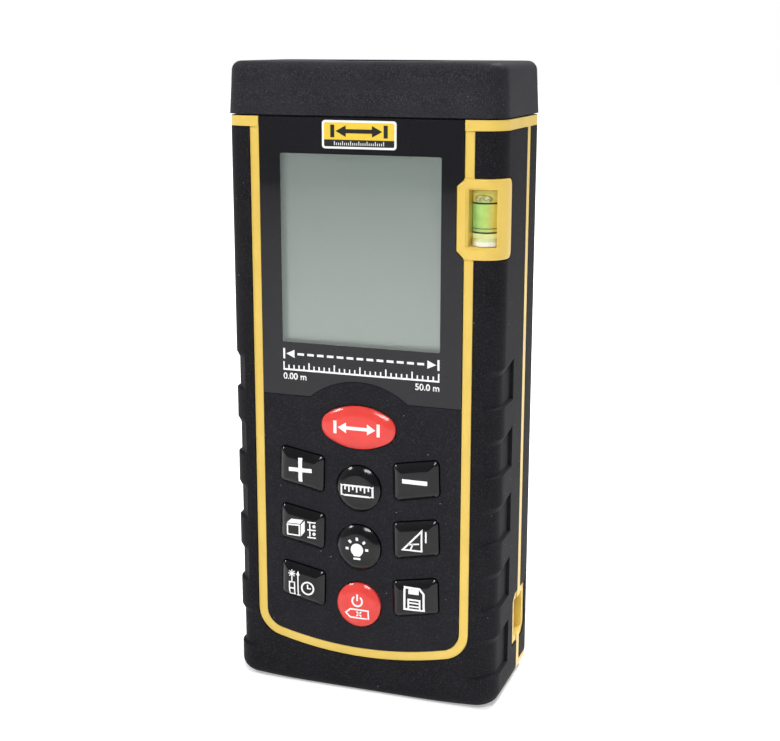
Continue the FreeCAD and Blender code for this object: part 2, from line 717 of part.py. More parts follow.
def flex_cable():
    """Flat flexible cable from the receiver board to the main board."""
    thick = 0.25
    front = BOARD_BACK_Y
    back = -3.5
    low, bend, high = 66.0, 75.0, 78.0
    corners = (
        (front, low), (front, bend), (back - thick, bend), (back - thick, high),
        (back, high), (back, bend - thick), (front + thick, bend - thick), (front + thick, low),
    )
    runs = [(corner,) for corner in corners[1:] + corners[:1]]
    return outline("yz", -7.0, corners[0], runs).extrude(V(6.0, 0, 0))


def optics_screws():
    """Two screws that hold the chassis ears to the cap's posts."""
    screws = []
    for side in (-1, 1):
        head = rod_z(side * 14.5, OPTICS_Y, (106.4, 107.8), 1.8)
        screws.append(union(head, rod_z(side * 14.5, OPTICS_Y, (107.7, 116.5), SCREW_R - 0.1)))
    return Part.makeCompound(screws)


# ---------------------------------------------------------------- display
def display_lens():
    """Clear cover over the display, notched for the vial's surround."""
    sheet = through_y(panel_face(-GAP, LENS_FRONT_Y, SHELL_TOP - 0.05), (LENS_FRONT_Y, PANEL_BACK_Y))
    sheet = sheet.common(seam_block((AHEAD_Y, 0.0), GAP / 2, True))
    return sheet.cut(bezel_region(GAP))


def lcd_panel():
    """Liquid-crystal glass behind the cover."""
    return block((-17.8, 17.8), (-12.3, -10.6), (DISPLAY_LOW_Z + 0.2, DISPLAY_HIGH_Z - 0.2))


def lcd_light_guide():
    """White light guide between the glass and the main board."""
    guide = block((-17.8, 17.8), (-10.6, BOARD_FRONT_Y), (70.4, DISPLAY_HIGH_Z - 0.2))
    return guide.cut(block((-15.0, 15.0), (-9.6, BOARD_FRONT_Y), (73.0, 106.0)))


def lcd_connector_strip():
    """Rubber strip that joins the glass to the board's contacts."""
    return block((-16.5, 16.5), (-10.6, BOARD_FRONT_Y), (67.8, 69.8))


def front_badge():
    """Small plain badge on the display cover, under the nose cap."""
    face = rounded_rect("xz", -14.05, (-7.25, 7.25), (107.35, 112.5), 0.6)
    return through_y(face, (-14.05, LENS_FRONT_Y))


# ---------------------------------------------------------------- keypad
def oval(centre_x, centre_z, long_r, short_r, end_r):
    """An oval face in the xz plane: four tangent arcs, two of them round the ends."""
    side_r = (long_r ** 2 + short_r ** 2 - 2 * long_r * end_r) / (2 * (short_r - end_r))
    slant = math.hypot(long_r - end_r, side_r - short_r)
    join_x = long_r - end_r + end_r * (long_r - end_r) / slant
    join_z = end_r * (side_r - short_r) / slant
    left = centre_x - join_x
    right = centre_x + join_x
    runs = [
        ((centre_x, centre_z + short_r), (right, centre_z + join_z)),
        ((centre_x + long_r, centre_z), (right, centre_z - join_z)),
        ((centre_x, centre_z - short_r), (left, centre_z - join_z)),
        ((centre_x - long_r, centre_z), (left, centre_z + join_z)),
    ]
    return outline("xz", 0, (left, centre_z + join_z), runs)


def key_outlines():
    """Every key's outline face in the xz plane at y = 0, by name."""
    def circle(z, radius):
        return Part.Face(Part.Wire(Part.makeCircle(radius, V(KEYPAD_X, 0, z), V(0, 1, 0))))

    def quad(row, side):
        corners = [(KEYPAD_X - side * x, z) for x, z in QUAD_KEYS[row]]
        return rounded_polygon("xz", 0, corners, QUAD_CORNER_R)

    return {
        "key_measure": oval(KEYPAD_X, *MEASURE_KEY, MEASURE_END_R),
        "key_plus": quad("upper", -1),
        "key_minus": quad("upper", 1),
        "key_unit": circle(UNIT_KEY_Z, ROUND_KEY_R),
        "key_area": quad("middle", -1),
        "key_triangle": quad("middle", 1),
        "key_light": circle(LIGHT_KEY_Z, ROUND_KEY_R),
        "key_reference": quad("lower", -1),
        "key_memory": quad("lower", 1),
        "key_off": circle(OFF_KEY_Z, ROUND_KEY_R),
    }


def key_prism(face, grow, y):
    """A key's outline grown and extruded over the depths y."""
    grown = face.makeOffset2D(grow) if grow else face.copy()
    grown.translate(V(0, y[0], 0))
    return grown.extrude(V(0, y[1] - y[0], 0))


def key(face):
    """One key: softened cap, retaining flange and plunger."""
    cap = key_prism(face, 0, (KEY_TOP_Y, FLANGE_Y[1]))
    rim = [edge for edge in cap.Edges if edge.BoundBox.YMax < KEY_TOP_Y + 0.01]
    cap = cap.makeFillet(KEY_EDGE_R, rim)
    flange = key_prism(face, FLANGE_W, FLANGE_Y)
    centre = face.CenterOfMass
    plunger_end = BOARD_FRONT_Y - DOME_T - KEY_TRAVEL - 0.05
    plunger = rod_y(centre.x, centre.z, (FLANGE_Y[1] - 0.1, plunger_end), PLUNGER_R)
    return union(cap, flange, plunger)


def keypad_plate(outlines):
    """Black plate round the keys, under the arched seam."""
    sheet = through_y(panel_face(-GAP, LENS_FRONT_Y, SHELL_TOP), (LENS_FRONT_Y + 0.05, PANEL_BACK_Y))
    sheet = sheet.common(seam_block((AHEAD_Y, 0.0), GAP / 2, False))
    return sheet.cut([key_prism(face, KEY_CLEAR, (AHEAD_Y, 0.0)) for face in outlines.values()])


def keypad_mat(outlines):
    """Silicone sheet behind the frame with a hole for each plunger."""
    sheet = through_y(rounded_rect("xz", MAT_Y[0], (-18.6, 18.6), (12.6, 61.6), 3.0), MAT_Y)
    holes = [rod_y(face.CenterOfMass.x, face.CenterOfMass.z, ALL, PLUNGER_R + 0.4)
             for face in outlines.values()]
    return sheet.cut(holes)


def key_domes(outlines):
    """One metal snap dome on the board under each plunger."""
    domes = []
    for face in outlines.values():
        centre = face.CenterOfMass
        ball_r = (DOME_R ** 2 + DOME_T ** 2) / (2 * DOME_T)
        ball = Part.makeSphere(ball_r, V(centre.x, BOARD_FRONT_Y - DOME_T + ball_r, centre.z))
        domes.append(ball.common(rod_y(centre.x, centre.z, (-12.0, BOARD_FRONT_Y), DOME_R + 1)))
    return Part.makeCompound(domes)


# ---------------------------------------------------------------- electronics
def main_board():
    """Printed circuit board behind the keypad and display."""
    board = union(block((-22.9, 22.9), (BOARD_FRONT_Y, BOARD_BACK_Y), (10.0, 74.0)),
                  block((-18.3, 18.3), (BOARD_FRONT_Y, BOARD_BACK_Y), (73.0, 107.0)))
    holes = [rod_y(side * x, z, ALL, 0.9) for side in (-1, 1) for x, z in BOARD_SCREWS]
    return board.cut(holes)


def board_chips():
    """Processor, memory, regulator and crystal on the back of the main board."""
    sizes = (
        ((-13.0, -4.0), (42.0, 51.0), 1.2),
        ((2.0, 8.0), (44.0, 49.0), 1.0),
        ((-12.0, -8.0), (30.0, 34.0), 1.1),
        ((4.0, 10.0), (30.0, 33.0), 1.6),
        ((-3.0, 3.0), (20.0, 24.0), 1.0),
    )
    chips = [block(x, (BOARD_BACK_Y, BOARD_BACK_Y + height), z) for x, z, height in sizes]
    return Part.makeCompound(chips)


def buzzer():
    """Round sounder on the back of the main board."""
    return union(rod_y(11.0, 67.0, (BOARD_BACK_Y, -3.4), 5.5), rod_y(11.0, 67.0, (-3.5, -3.0), 1.6))


def board_screws():
    """Four screws that hold the main board to the front shell."""
    screws = []
    for side in (-1, 1):
        for x, z in BOARD_SCREWS:
            head = rod_y(side * x, z, (BOARD_BACK_Y, BOARD_BACK_Y + 1.0), 1.6)
            screws.append(union(head, rod_y(side * x, z, (-10.4, BOARD_BACK_Y + 0.1), 0.8)))
    return Part.makeCompound(screws)


def case_screws():
    """Four long screws, from the back, that close the casing."""
    screws = []
    for side in (-1, 1):
        for x, z in (UPPER_SCREW, LOWER_SCREW):
            head = rod_y(side * x, z, (SCREW_SEAT_Y, SCREW_SEAT_Y + 1.6), SCREW_HEAD_R)
            slot_a = block((side * x - 1.2, side * x + 1.2), (10.2, 11), (z - 0.25, z + 0.25))
            slot_b = block((side * x - 0.25, side * x + 0.25), (10.2, 11), (z - 1.2, z + 1.2))
            shank = rod_y(side * x, z, (-4.5, SCREW_SEAT_Y + 0.1), SCREW_R)
            screws.append(union(head, shank).cut([slot_a, slot_b]))
    return Part.makeCompound(screws)


# ---------------------------------------------------------------- level vial and strap pin
def vial_tube():
    """Clear tube of the level, closed at the top."""
    low = VIAL_LOW_Z + VIAL_PLUG_T
    tube = rod_z(VIAL_X, VIAL_Y, (low, VIAL_HIGH_Z), VIAL_R)
    return tube.cut(rod_z(VIAL_X, VIAL_Y, (low, VIAL_HIGH_Z - 0.5), VIAL_R - VIAL_WALL))


def vial_plug():
    """Pale plug that closes the level's lower end."""
    return rod_z(VIAL_X, VIAL_Y, (VIAL_LOW_Z, VIAL_LOW_Z + VIAL_PLUG_T), VIAL_R)


def vial_liquid():
    """Green liquid with the bubble's hollow at its upper end."""
    high = VIAL_HIGH_Z - 0.5
    liquid = rod_z(VIAL_X, VIAL_Y, (VIAL_LOW_Z + VIAL_PLUG_T, high), VIAL_R - VIAL_WALL)
    bubble = Part.makeSphere(2.4, V(VIAL_X, VIAL_Y, high + 0.9))
    room = rod_z(VIAL_X, VIAL_Y, (high - 3, high + 3), 1.75)
    return liquid.cut(bubble.common(room))


def strap_pin():
    """Steel pin across the eyelet pocket, held between the shells."""
    return rod_z(EYELET_PIN[0], EYELET_PIN[1], (9.0, 18.7), EYELET_PIN_R)


# ---------------------------------------------------------------- battery compartment
def battery_door():
    """Door with two tongues at its foot and grip ribs near its top."""
    face = rounded_rect("xz", DOOR_Y[0], (-DOOR_HALF_W, DOOR_HALF_W), DOOR_Z, 1.25)
    door = through_y(face, DOOR_Y)
    tongues = []
    for side in (-1, 1):
        x = tuple(sorted((side * TONGUE_X[0], side * TONGUE_X[1])))
        tongues.append(block(x, (11.0, DOOR_Y[0] + 0.2), (12.0, 13.4)))
        tongues.append(block(x, (11.0, 12.1), (9.5, 12.5)))
    grooves = [block((-5.0, 5.0), (13.4, 15.0), (53.0 + 1.6 * row, 53.7 + 1.6 * row)) for row in range(4)]
    return union(door, *tongues).cut(grooves)


def battery(side):
    """One small cell; the right-hand one stands nub up, the left-hand one nub down."""
    if side > 0:
        body_z = (BAY_Z[1] - PLATE_T - CELL_NUB - CELL_LEN, BAY_Z[1] - PLATE_T - CELL_NUB)
        nub_z = (body_z[1] - 0.1, body_z[1] + CELL_NUB)
    else:
        body_z = (BAY_Z[0] + PLATE_T + CELL_NUB, BAY_Z[0] + PLATE_T + CELL_NUB + CELL_LEN)
        nub_z = (body_z[0] - CELL_NUB, body_z[0] + 0.1)
    body = rod_z(side * CELL_X, CELL_Y, body_z, CELL_R)
    body = body.makeFillet(0.4, [edge for edge in body.Edges if edge.Closed])
    return union(body, rod_z(side * CELL_X, CELL_Y, nub_z, 1.7))


def coil_spring(x, y, low_z):
    """An upright coil of half turns, each a slightly tilted half ring."""
    half_rise = SPRING_PITCH / 2
    reach = math.hypot(SPRING_R, half_rise / 2)
    lean = half_rise / 2 / reach
    parts = []
    for step in range(2 * SPRING_TURNS):
        side = 1 if step % 2 == 0 else -1
        centre = V(x, y, low_z + half_rise * (step + 0.5))
        start = centre + V(side * SPRING_R, 0, -half_rise / 2)
        wire = Part.Face(Part.Wire(Part.makeCircle(SPRING_WIRE_R, start, V(0, side, 0))))
        axis = V(lean, 0, side * SPRING_R / reach) * side
        parts.append(wire.revolve(centre, axis, 180))
    return union(*parts)


def battery_springs():
    """The two coil contacts, one at each cell's flat end."""
    height = SPRING_PITCH * SPRING_TURNS
    springs = []
    for side in (-1, 1):
        low_z = BAY_Z[0] + PLATE_T + SPRING_WIRE_R
        if side < 0:
            low_z = BAY_Z[1] - PLATE_T - SPRING_WIRE_R - height
        springs.append(coil_spring(side * CELL_X, CELL_Y, low_z))
    return Part.makeCompound(springs)


def battery_plates():
    """Bent contact plates at both ends of the bay."""
    depth = (1.4, 11.0)
    top = block((-10.8, 10.8), depth, (BAY_Z[1] - PLATE_T, BAY_Z[1]))
    left = block((-10.8, -0.6), depth, (BAY_Z[0], BAY_Z[0] + PLATE_T))
    right = block((0.6, 10.8), depth, (BAY_Z[0], BAY_Z[0] + PLATE_T))
    return Part.makeCompound([top, left, right])


# ---------------------------------------------------------------- all nodes
def build():
    """Every node's shape by name."""
    outlines = key_outlines()
    nodes = {
        "front_shell": front_shell(),
        "rear_shell": rear_shell(),
        "front_grip": front_grip(),
        "rear_grip": rear_grip(),
        "rear_label": rear_label(),
        "nose_cap": nose_cap(),
        "nose_seal": nose_seal(),
        "receiver_lens": receiver_lens(),
        "laser_window": laser_window(),
        "optics_chassis": optics_chassis(),
        "laser_barrel": laser_barrel(),
        "collimator_lens": collimator_lens(),
        "laser_diode": laser_diode(),
        "optical_filter": optical_filter(),
        "photodiode": photodiode(),
        "receiver_board": receiver_board(),
        "flex_cable": flex_cable(),
        "optics_screws": optics_screws(),
        "display_lens": display_lens(),
        "front_badge": front_badge(),
        "lcd_panel": lcd_panel(),
        "lcd_light_guide": lcd_light_guide(),
        "lcd_connector_strip": lcd_connector_strip(),
        "keypad_plate": keypad_plate(outlines),
        "keypad_mat": keypad_mat(outlines),
        "key_domes": key_domes(outlines),
        "main_board": main_board(),
        "board_chips": board_chips(),
        "buzzer": buzzer(),
        "board_screws": board_screws(),
        "case_screws": case_screws(),
        "vial_tube": vial_tube(),
        "vial_plug": vial_plug(),
        "vial_liquid": vial_liquid(),
        "strap_pin": strap_pin(),
        "battery_door": battery_door(),
        "battery_left": battery(-1),
        "battery_right": battery(1),
        "battery_springs": battery_springs(),
        "battery_plates": battery_plates(),
    }
    for name, face in outlines.items():
        nodes[name] = key(face)
    return nodes


os.makedirs("parts", exist_ok=True)
for node_name, shape in build().items():
    box = shape.optimalBoundingBox(False, False)
    print(
        f"{node_name:20s} solids {len(shape.Solids)} valid {shape.isValid()} volume {shape.Volume:9.1f}",
        f"x {box.XMin:6.2f} {box.XMax:6.2f} y {box.YMin:6.2f} {box.YMax:6.2f}",
        f"z {box.ZMin:6.2f} {box.ZMax:6.2f}",
    )
    shape.exportStep(f"parts/{node_name}.step")
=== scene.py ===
import math
import bpy
import bmesh
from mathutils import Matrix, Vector, geometry


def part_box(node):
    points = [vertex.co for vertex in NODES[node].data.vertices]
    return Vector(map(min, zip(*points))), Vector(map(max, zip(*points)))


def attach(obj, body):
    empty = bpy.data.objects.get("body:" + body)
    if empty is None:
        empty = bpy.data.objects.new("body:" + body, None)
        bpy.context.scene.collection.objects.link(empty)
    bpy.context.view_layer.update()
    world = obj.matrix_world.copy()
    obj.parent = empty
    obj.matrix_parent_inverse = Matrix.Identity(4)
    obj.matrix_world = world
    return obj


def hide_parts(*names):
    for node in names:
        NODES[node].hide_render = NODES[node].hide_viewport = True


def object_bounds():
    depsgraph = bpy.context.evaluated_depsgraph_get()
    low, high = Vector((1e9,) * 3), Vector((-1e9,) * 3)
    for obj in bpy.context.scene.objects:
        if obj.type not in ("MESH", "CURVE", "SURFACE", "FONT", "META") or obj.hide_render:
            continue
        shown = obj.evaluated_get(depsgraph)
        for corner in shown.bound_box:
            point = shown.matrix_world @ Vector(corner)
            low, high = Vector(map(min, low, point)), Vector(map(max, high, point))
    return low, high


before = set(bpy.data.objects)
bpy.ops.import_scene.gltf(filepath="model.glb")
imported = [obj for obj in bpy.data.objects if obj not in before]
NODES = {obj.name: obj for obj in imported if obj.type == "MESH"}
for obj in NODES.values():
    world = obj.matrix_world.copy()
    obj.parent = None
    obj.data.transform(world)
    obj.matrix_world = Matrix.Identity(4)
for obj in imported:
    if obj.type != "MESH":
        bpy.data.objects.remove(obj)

# Looks of a hand-held laser distance meter. Sizes are named in millimetres and turned into metres
# by MM; places not named here come from the CAD nodes. X runs across the front, -Y is the front,
# Z is up.

MM = 0.001
CAD_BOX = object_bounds()
CASING = "casing"

# ---------------------------------------------------------------- camera and studio sizes
CAMERA_PLACE_MM = (93.85, -258.98, 126.51)
CAMERA_TURN_DEG = (77.0055, -0.0828, 19.7329)
CAMERA_LENS = 65.817
FLOOR_HALF = 4.0            # metres, like the rest of the studio
FLOOR_FRONT = -0.95         # the floor ends here, so the room in front stays dim in reflections
WORLD_BRIGHT_WAY = (-0.7, 0.8, 0.0)     # the side that the surroundings are brightest on
WORLD_RAMP = (-0.6, 0.7)    # how far round to that side the brightening starts and ends
WORLD_STRENGTH = (0.2, 0.65)
LIGHT_AIM = (0.0, 0.0, 0.07)
SOFTBOXES = (               # name, place, width and height, watts
    ("softbox_left", (-0.70, -0.38, 0.67), (0.2, 0.16), 2.6),
    ("softbox_right", (0.22, -0.66, 0.80), (0.38, 0.24), 6.5),
    ("softbox_top", (0.22, 0.38, 0.86), (0.42, 0.3), 8.0),
)

# ---------------------------------------------------------------- key surfaces, in mm
KEY_RISE = 0.85             # crown above the rim of a key
KEY_SLOPE_W = 2.1           # width of the rounded border inside a key's edge
KEY_SLOPE_POWER = 2.2
CAP_BELOW_CROWN = 2.3       # the cap's straight side is within this depth of its crown
FLANGE_GROW = 0.7
PLUNGER_LEN = 2.75          # from the flange to the plunger's end
FLANGE_T = 0.6
PLUNGER_R = 1.5
RAYS = 240
DOME_RINGS = 26
DOME_CROWDING = 1.7         # over 1, the rings of a key's top crowd towards its edge
REACH_LIMIT = 30            # longer than any key is wide

PRINT_T = 0.02              # thickness of a printed mark
MASK_T = 0.006              # thickness of the display cover's black border
PRINT_STEP = 0.5            # edges longer than this are halved where a mark follows a curved key
PRINT_HALVINGS = 3
INK_PROUD = 0.75            # the share of a mark's thickness that stands out of a key
ARROW_GAP = 0.25            # between an arrow's tip and its end bar
WELD = 0.001                # points nearer than this are one

# ---------------------------------------------------------------- front panel print, in mm
WINDOW_X = (-15.8, 15.8)
WINDOW_Z = (70.45, 106.3)
WINDOW_R = 0.35
SCALE_HALF_W = 15.75
SCALE_Z = 65.05
SCALE_DIVISIONS = 30
SCALE_LONG_EVERY = 5
SCALE_LONG = 1.5
SCALE_SHORT = 0.9
SCALE_LINE_W = 0.34
SCALE_TICK_W = 0.27
DIGIT_H = 1.3
DIGIT_Z = 63.1
DIGIT_BOLD = 0.02           # widens the digits' strokes, as a share of the font's size
DIMENSION_Z = 68.15
DIMENSION_BAR_H = 2.05
DIMENSION_BAR_W = 0.4
DIMENSION_HEAD = (13.4, 15.1, 0.78)    # an arrowhead's foot and tip across, and its half height
DIMENSION_REACH = 13.1      # the dashes run this far to both sides
DIMENSION_DASHES = 13
DASH_GAP = 0.66
DASH_H = 0.44

BADGE_BORDER = 0.4
BADGE_BAND_H = 1.25

# ---------------------------------------------------------------- vial and back label, in mm
VIAL_RINGS = ((93.0, 0.28), (93.75, 0.12), (98.3, 0.3))    # height and width of each ring
ROUND_STEPS = 96            # sides of the rings and of the fluid
RING_PROUD = 0.01           # how far a ring stands out of the tube
RING_T = 0.03
FLUID_IN = 0.1              # the fluid's look ends this far inside the tube
BUBBLE_R = (2.15, 0.2, 1.05)
BUBBLE_IN = 0.12            # the bubble's middle lies this far inside the fluid
LABEL_MARGIN = 1.2

# painted highlight: the grain's peaks are lighter in colour, standing in for the light they catch
GRAIN_PAINTED_HIGHLIGHT = 3.0           # how much brighter the peaks of a moulded grain are than its valleys


# ================================================================ materials
class Shader:
    """A node material with short calls for the nodes used here."""

    def __init__(self, name):
        self.material = bpy.data.materials.new(name)
        self.material.use_nodes = True
        self.tree = self.material.node_tree
        self.tree.nodes.clear()
        self.out = self.tree.nodes.new("ShaderNodeOutputMaterial")
        self.place = self.tree.nodes.new("ShaderNodeTexCoord").outputs["Object"]

    def feed(self, socket, value):
        if isinstance(value, bpy.types.NodeSocket):
            self.tree.links.new(value, socket)
        elif hasattr(value, "__len__") and len(value) == 3 and socket.type == "RGBA":
            socket.default_value = (*value, 1.0)
        else:
            socket.default_value = value

    def add(self, kind, settings=None, **inputs):
        node = self.tree.nodes.new(kind)
        for key, value in (settings or {}).items():
            setattr(node, key, value)
        for key, value in inputs.items():
            self.feed(node.inputs[key.replace("_", " ")], value)
        return node

    def noise(self, size_mm, detail=3.0, roughness=0.55, place=None):
        """Noise whose blobs are about size_mm across, from 0 to 1."""
        node = self.add("ShaderNodeTexNoise", Vector=place or self.place, Scale=1 / (size_mm * MM),
                        Detail=detail, Roughness=roughness)
        return node.outputs["Fac"]

    def spread(self, value, source, target):
        """A value mapped from one range to another, clamped."""
        node = self.add("ShaderNodeMapRange", Value=value, From_Min=source[0], From_Max=source[1],
                        To_Min=target[0], To_Max=target[1])
        return node.outputs["Result"]

    def calc(self, operation, a, b=0.0):
        node = self.add("ShaderNodeMath", {"operation": operation})
        self.feed(node.inputs[0], a)
        self.feed(node.inputs[1], b)
        return node.outputs["Value"]

    def blend(self, factor, low, high):
        """One colour turning into another as the factor goes from 0 to 1."""
        node = self.add("ShaderNodeMix", {"data_type": "RGBA"})
        self.feed(node.inputs["Factor"], factor)
        self.feed(node.inputs["A"], low)
        self.feed(node.inputs["B"], high)
        return node.outputs["Result"]

    def axis(self, name):
        """The object coordinate along one axis, in metres."""
        return self.add("ShaderNodeSeparateXYZ", Vector=self.place).outputs[name]

    def specks(self, cell_mm, radius_mm, share):
        """1 inside sparse round dots, 0 elsewhere: one dot in a share of the cells."""
        cells = self.add("ShaderNodeTexVoronoi", Vector=self.place, Scale=1 / (cell_mm * MM))
        inside = self.calc("LESS_THAN", cells.outputs["Distance"], radius_mm / cell_mm)
        pick = self.add("ShaderNodeSeparateColor", Color=cells.outputs["Color"]).outputs["Red"]
        return self.calc("MULTIPLY", inside, self.calc("LESS_THAN", pick, share))

    def bump(self, height, depth_mm, strength=1.0, under=None):
        node = self.add("ShaderNodeBump", Height=height, Distance=depth_mm * MM, Strength=strength)
        if under:
            self.feed(node.inputs["Normal"], under)
        return node.outputs["Normal"]

    def coat(self, color, roughness, normal=None, **inputs):
        """The finished material: a Principled surface."""
        node = self.add("ShaderNodeBsdfPrincipled", Base_Color=color, Roughness=roughness, **inputs)
        if normal:
            self.feed(node.inputs["Normal"], normal)
        self.feed(self.out.inputs["Surface"], node.outputs["BSDF"])
        return self.material


def lighter(color, factor):
    """A colour multiplied by a factor, kept within range."""
    return tuple(min(channel * factor, 1.0) for channel in color)


def grained(name, color, roughness, grain_mm, depth_mm, dust=0.0, **inputs):
    """Moulded plastic or rubber: fine grain whose peaks carry a painted highlight, faint mottling, uneven
    gloss and a little dust.
    """
    shader = Shader(name)
    grain = shader.noise(grain_mm, detail=3.0, roughness=0.6)
    mottle = shader.noise(7.0, detail=2.0)
    tone = shader.blend(shader.spread(mottle, (0.3, 0.7), (0.0, 1.0)), lighter(color, 0.85),
                        lighter(color, 1.15))
    # painted highlight: the grain's peaks are painted lighter, as if they caught the light
    tone = shader.blend(shader.spread(grain, (0.5, 0.72), (0.0, 1.0)), tone, lighter(color, GRAIN_PAINTED_HIGHLIGHT))
    if dust:
        dots = shader.specks(1.7, 0.07, dust)
        tone = shader.blend(shader.calc("MULTIPLY", dots, 0.7), tone, (0.5, 0.5, 0.5))
    gloss = shader.spread(grain, (0.35, 0.65), (roughness - 0.08, roughness + 0.1))
    return shader.coat(tone, gloss, shader.bump(grain, depth_mm), **inputs)


def yellow_plastic():
    """Satin yellow casing plastic with a faint mould grain and clouding."""
    shader = Shader("casing_yellow")
    cloud = shader.noise(9.0)
    grain = shader.noise(0.22, detail=3.0)
    tone = shader.blend(shader.spread(cloud, (0.3, 0.7), (0.0, 1.0)), (0.69, 0.470, 0.082),
                        (0.75, 0.530, 0.108))
    tone = shader.blend(shader.spread(grain, (0.58, 0.8), (0.0, 0.25)), tone, (0.64, 0.41, 0.06))
    gloss = shader.spread(grain, (0.3, 0.7), (0.3, 0.45))
    return shader.coat(tone, gloss, shader.bump(grain, 0.006), Specular_IOR_Level=0.5)


def soft_black():
    """Soft rubber pads: matt, fine grained, with a little dust."""
    return grained("pad_rubber", (0.0098, 0.0096, 0.0114), 0.6, 0.24, 0.022, dust=0.3,
                   Specular_IOR_Level=0.05)


def cap_black():
    """The nose cap's spark-textured hard plastic."""
    return grained("cap_plastic", (0.0188, 0.0188, 0.0225), 0.5, 0.2, 0.018, dust=0.15,
                   Specular_IOR_Level=0.08)


def plate_black():
    """The keypad plate's fine satin texture."""
    return grained("plate_plastic", (0.0098, 0.0098, 0.0126), 0.55, 0.2, 0.012, dust=0.5,
                   Specular_IOR_Level=0.11)


def door_black():
    """Battery door plastic."""
    return grained("door_plastic", (0.0125, 0.0125, 0.0142), 0.52, 0.28, 0.024, dust=0.2,
                   Specular_IOR_Level=0.08)


def glossy_key(name, color):
    """Glossy key: colour under a hard, faintly rippled gloss, with a little dust."""
    shader = Shader(name)
    cloud = shader.noise(2.4)
    tone = shader.blend(cloud, lighter(color, 0.88), lighter(color, 1.12))
    dots = shader.specks(0.9, 0.045, 0.1)
    tone = shader.blend(shader.calc("MULTIPLY", dots, 0.35), tone, (0.6, 0.6, 0.6))
    ripple = shader.noise(1.6, detail=1.0)
    peel = shader.noise(0.45, detail=1.0)
    gloss = shader.spread(cloud, (0.3, 0.7), (0.1, 0.2))
    uneven = shader.bump(peel, 0.004, under=shader.bump(ripple, 0.014))
    return shader.coat(tone, gloss, uneven, Specular_IOR_Level=0.2,
                       Coat_Weight=0.2, Coat_Roughness=0.06)


def clear_gloss(name, tint, roughness):
    """Clear acrylic or glass: what is behind shows straight through, under a polished surface."""
    shader = Shader(name)
    smear = shader.noise(14.0, detail=3.0)
    gloss = shader.add("ShaderNodeBsdfGlossy", Color=(0.9, 0.9, 0.9),
                       Roughness=shader.spread(smear, (0.35, 0.7), (roughness, roughness + 0.04)))
    clear = shader.add("ShaderNodeBsdfTransparent", Color=tint)
    fresnel = shader.add("ShaderNodeFresnel", IOR=1.49)
    mixed = shader.add("ShaderNodeMixShader", Fac=fresnel.outputs["Fac"])
    shader.feed(mixed.inputs[1], clear.outputs["BSDF"])
    shader.feed(mixed.inputs[2], gloss.outputs["BSDF"])
    shader.feed(shader.out.inputs["Surface"], mixed.outputs["Shader"])
    return shader.material


def lcd_grey():
    """Display film: grey-green with a fine ripple; painted shade darkens it towards the top, and a weak
    painted glow lifts the shade near the cover's border.
    """
    shader = Shader("lcd_film")
    low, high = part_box("lcd_panel")
    rise = shader.spread(shader.axis("Z"), (low.z, high.z), (0.0, 1.0))
    # painted shade: lighter at the film's foot, darker towards its top, where the cover's border shades it
    tone = shader.blend(rise, (0.62, 0.71, 0.66), (0.42, 0.50, 0.455))
    cloud = shader.noise(11.0)
    tone = shader.blend(shader.spread(cloud, (0.3, 0.7), (0.0, 0.12)), tone, (0.68, 0.74, 0.68))
    ripple = shader.noise(0.12, detail=1.0)
    # painted light: a weak glow, though the film is not lit from behind, lifts its shade near the cover's
    # border
    return shader.coat(tone, 0.42, shader.bump(ripple, 0.002), Specular_IOR_Level=0.3,
                       Emission_Color=tone, Emission_Strength=0.2)


def printed(name, color, roughness=0.42):
    """Screen-printed ink, slightly uneven."""
    shader = Shader(name)
    cloud = shader.noise(0.6, detail=2.0)
    tone = shader.blend(cloud, lighter(color, 0.93), lighter(color, 1.04))
    grain = shader.noise(0.08, detail=1.0)
    return shader.coat(tone, roughness, shader.bump(grain, 0.002))


def metal(name, color, roughness, grain_mm=0.4, brushed=(1, 1, 1)):
    """Plated, turned or cast metal; its grain is finer along an axis where brushed is over 1."""
    shader = Shader(name)
    scale = shader.add("ShaderNodeMapping", Vector=shader.place, Scale=brushed)
    grain = shader.noise(grain_mm, detail=4.0, place=scale.outputs["Vector"])
    tone = shader.blend(grain, lighter(color, 0.85), lighter(color, 1.1))
    gloss = shader.spread(grain, (0.3, 0.7), (roughness - 0.05, roughness + 0.08))
    return shader.coat(tone, gloss, shader.bump(grain, 0.004), Metallic=1.0)


def circuit_green():
    """Solder mask with pale tracks under it."""
    shader = Shader("solder_mask")
    cells = shader.add("ShaderNodeTexVoronoi", {"feature": "DISTANCE_TO_EDGE"}, Vector=shader.place,
                       Scale=1 / (2.2 * MM))
    track = shader.spread(cells.outputs["Distance"], (0.03, 0.06), (1.0, 0.0))
    tone = shader.blend(track, (0.012, 0.14, 0.05), (0.04, 0.28, 0.1))
    return shader.coat(tone, 0.3, shader.bump(track, 0.01))


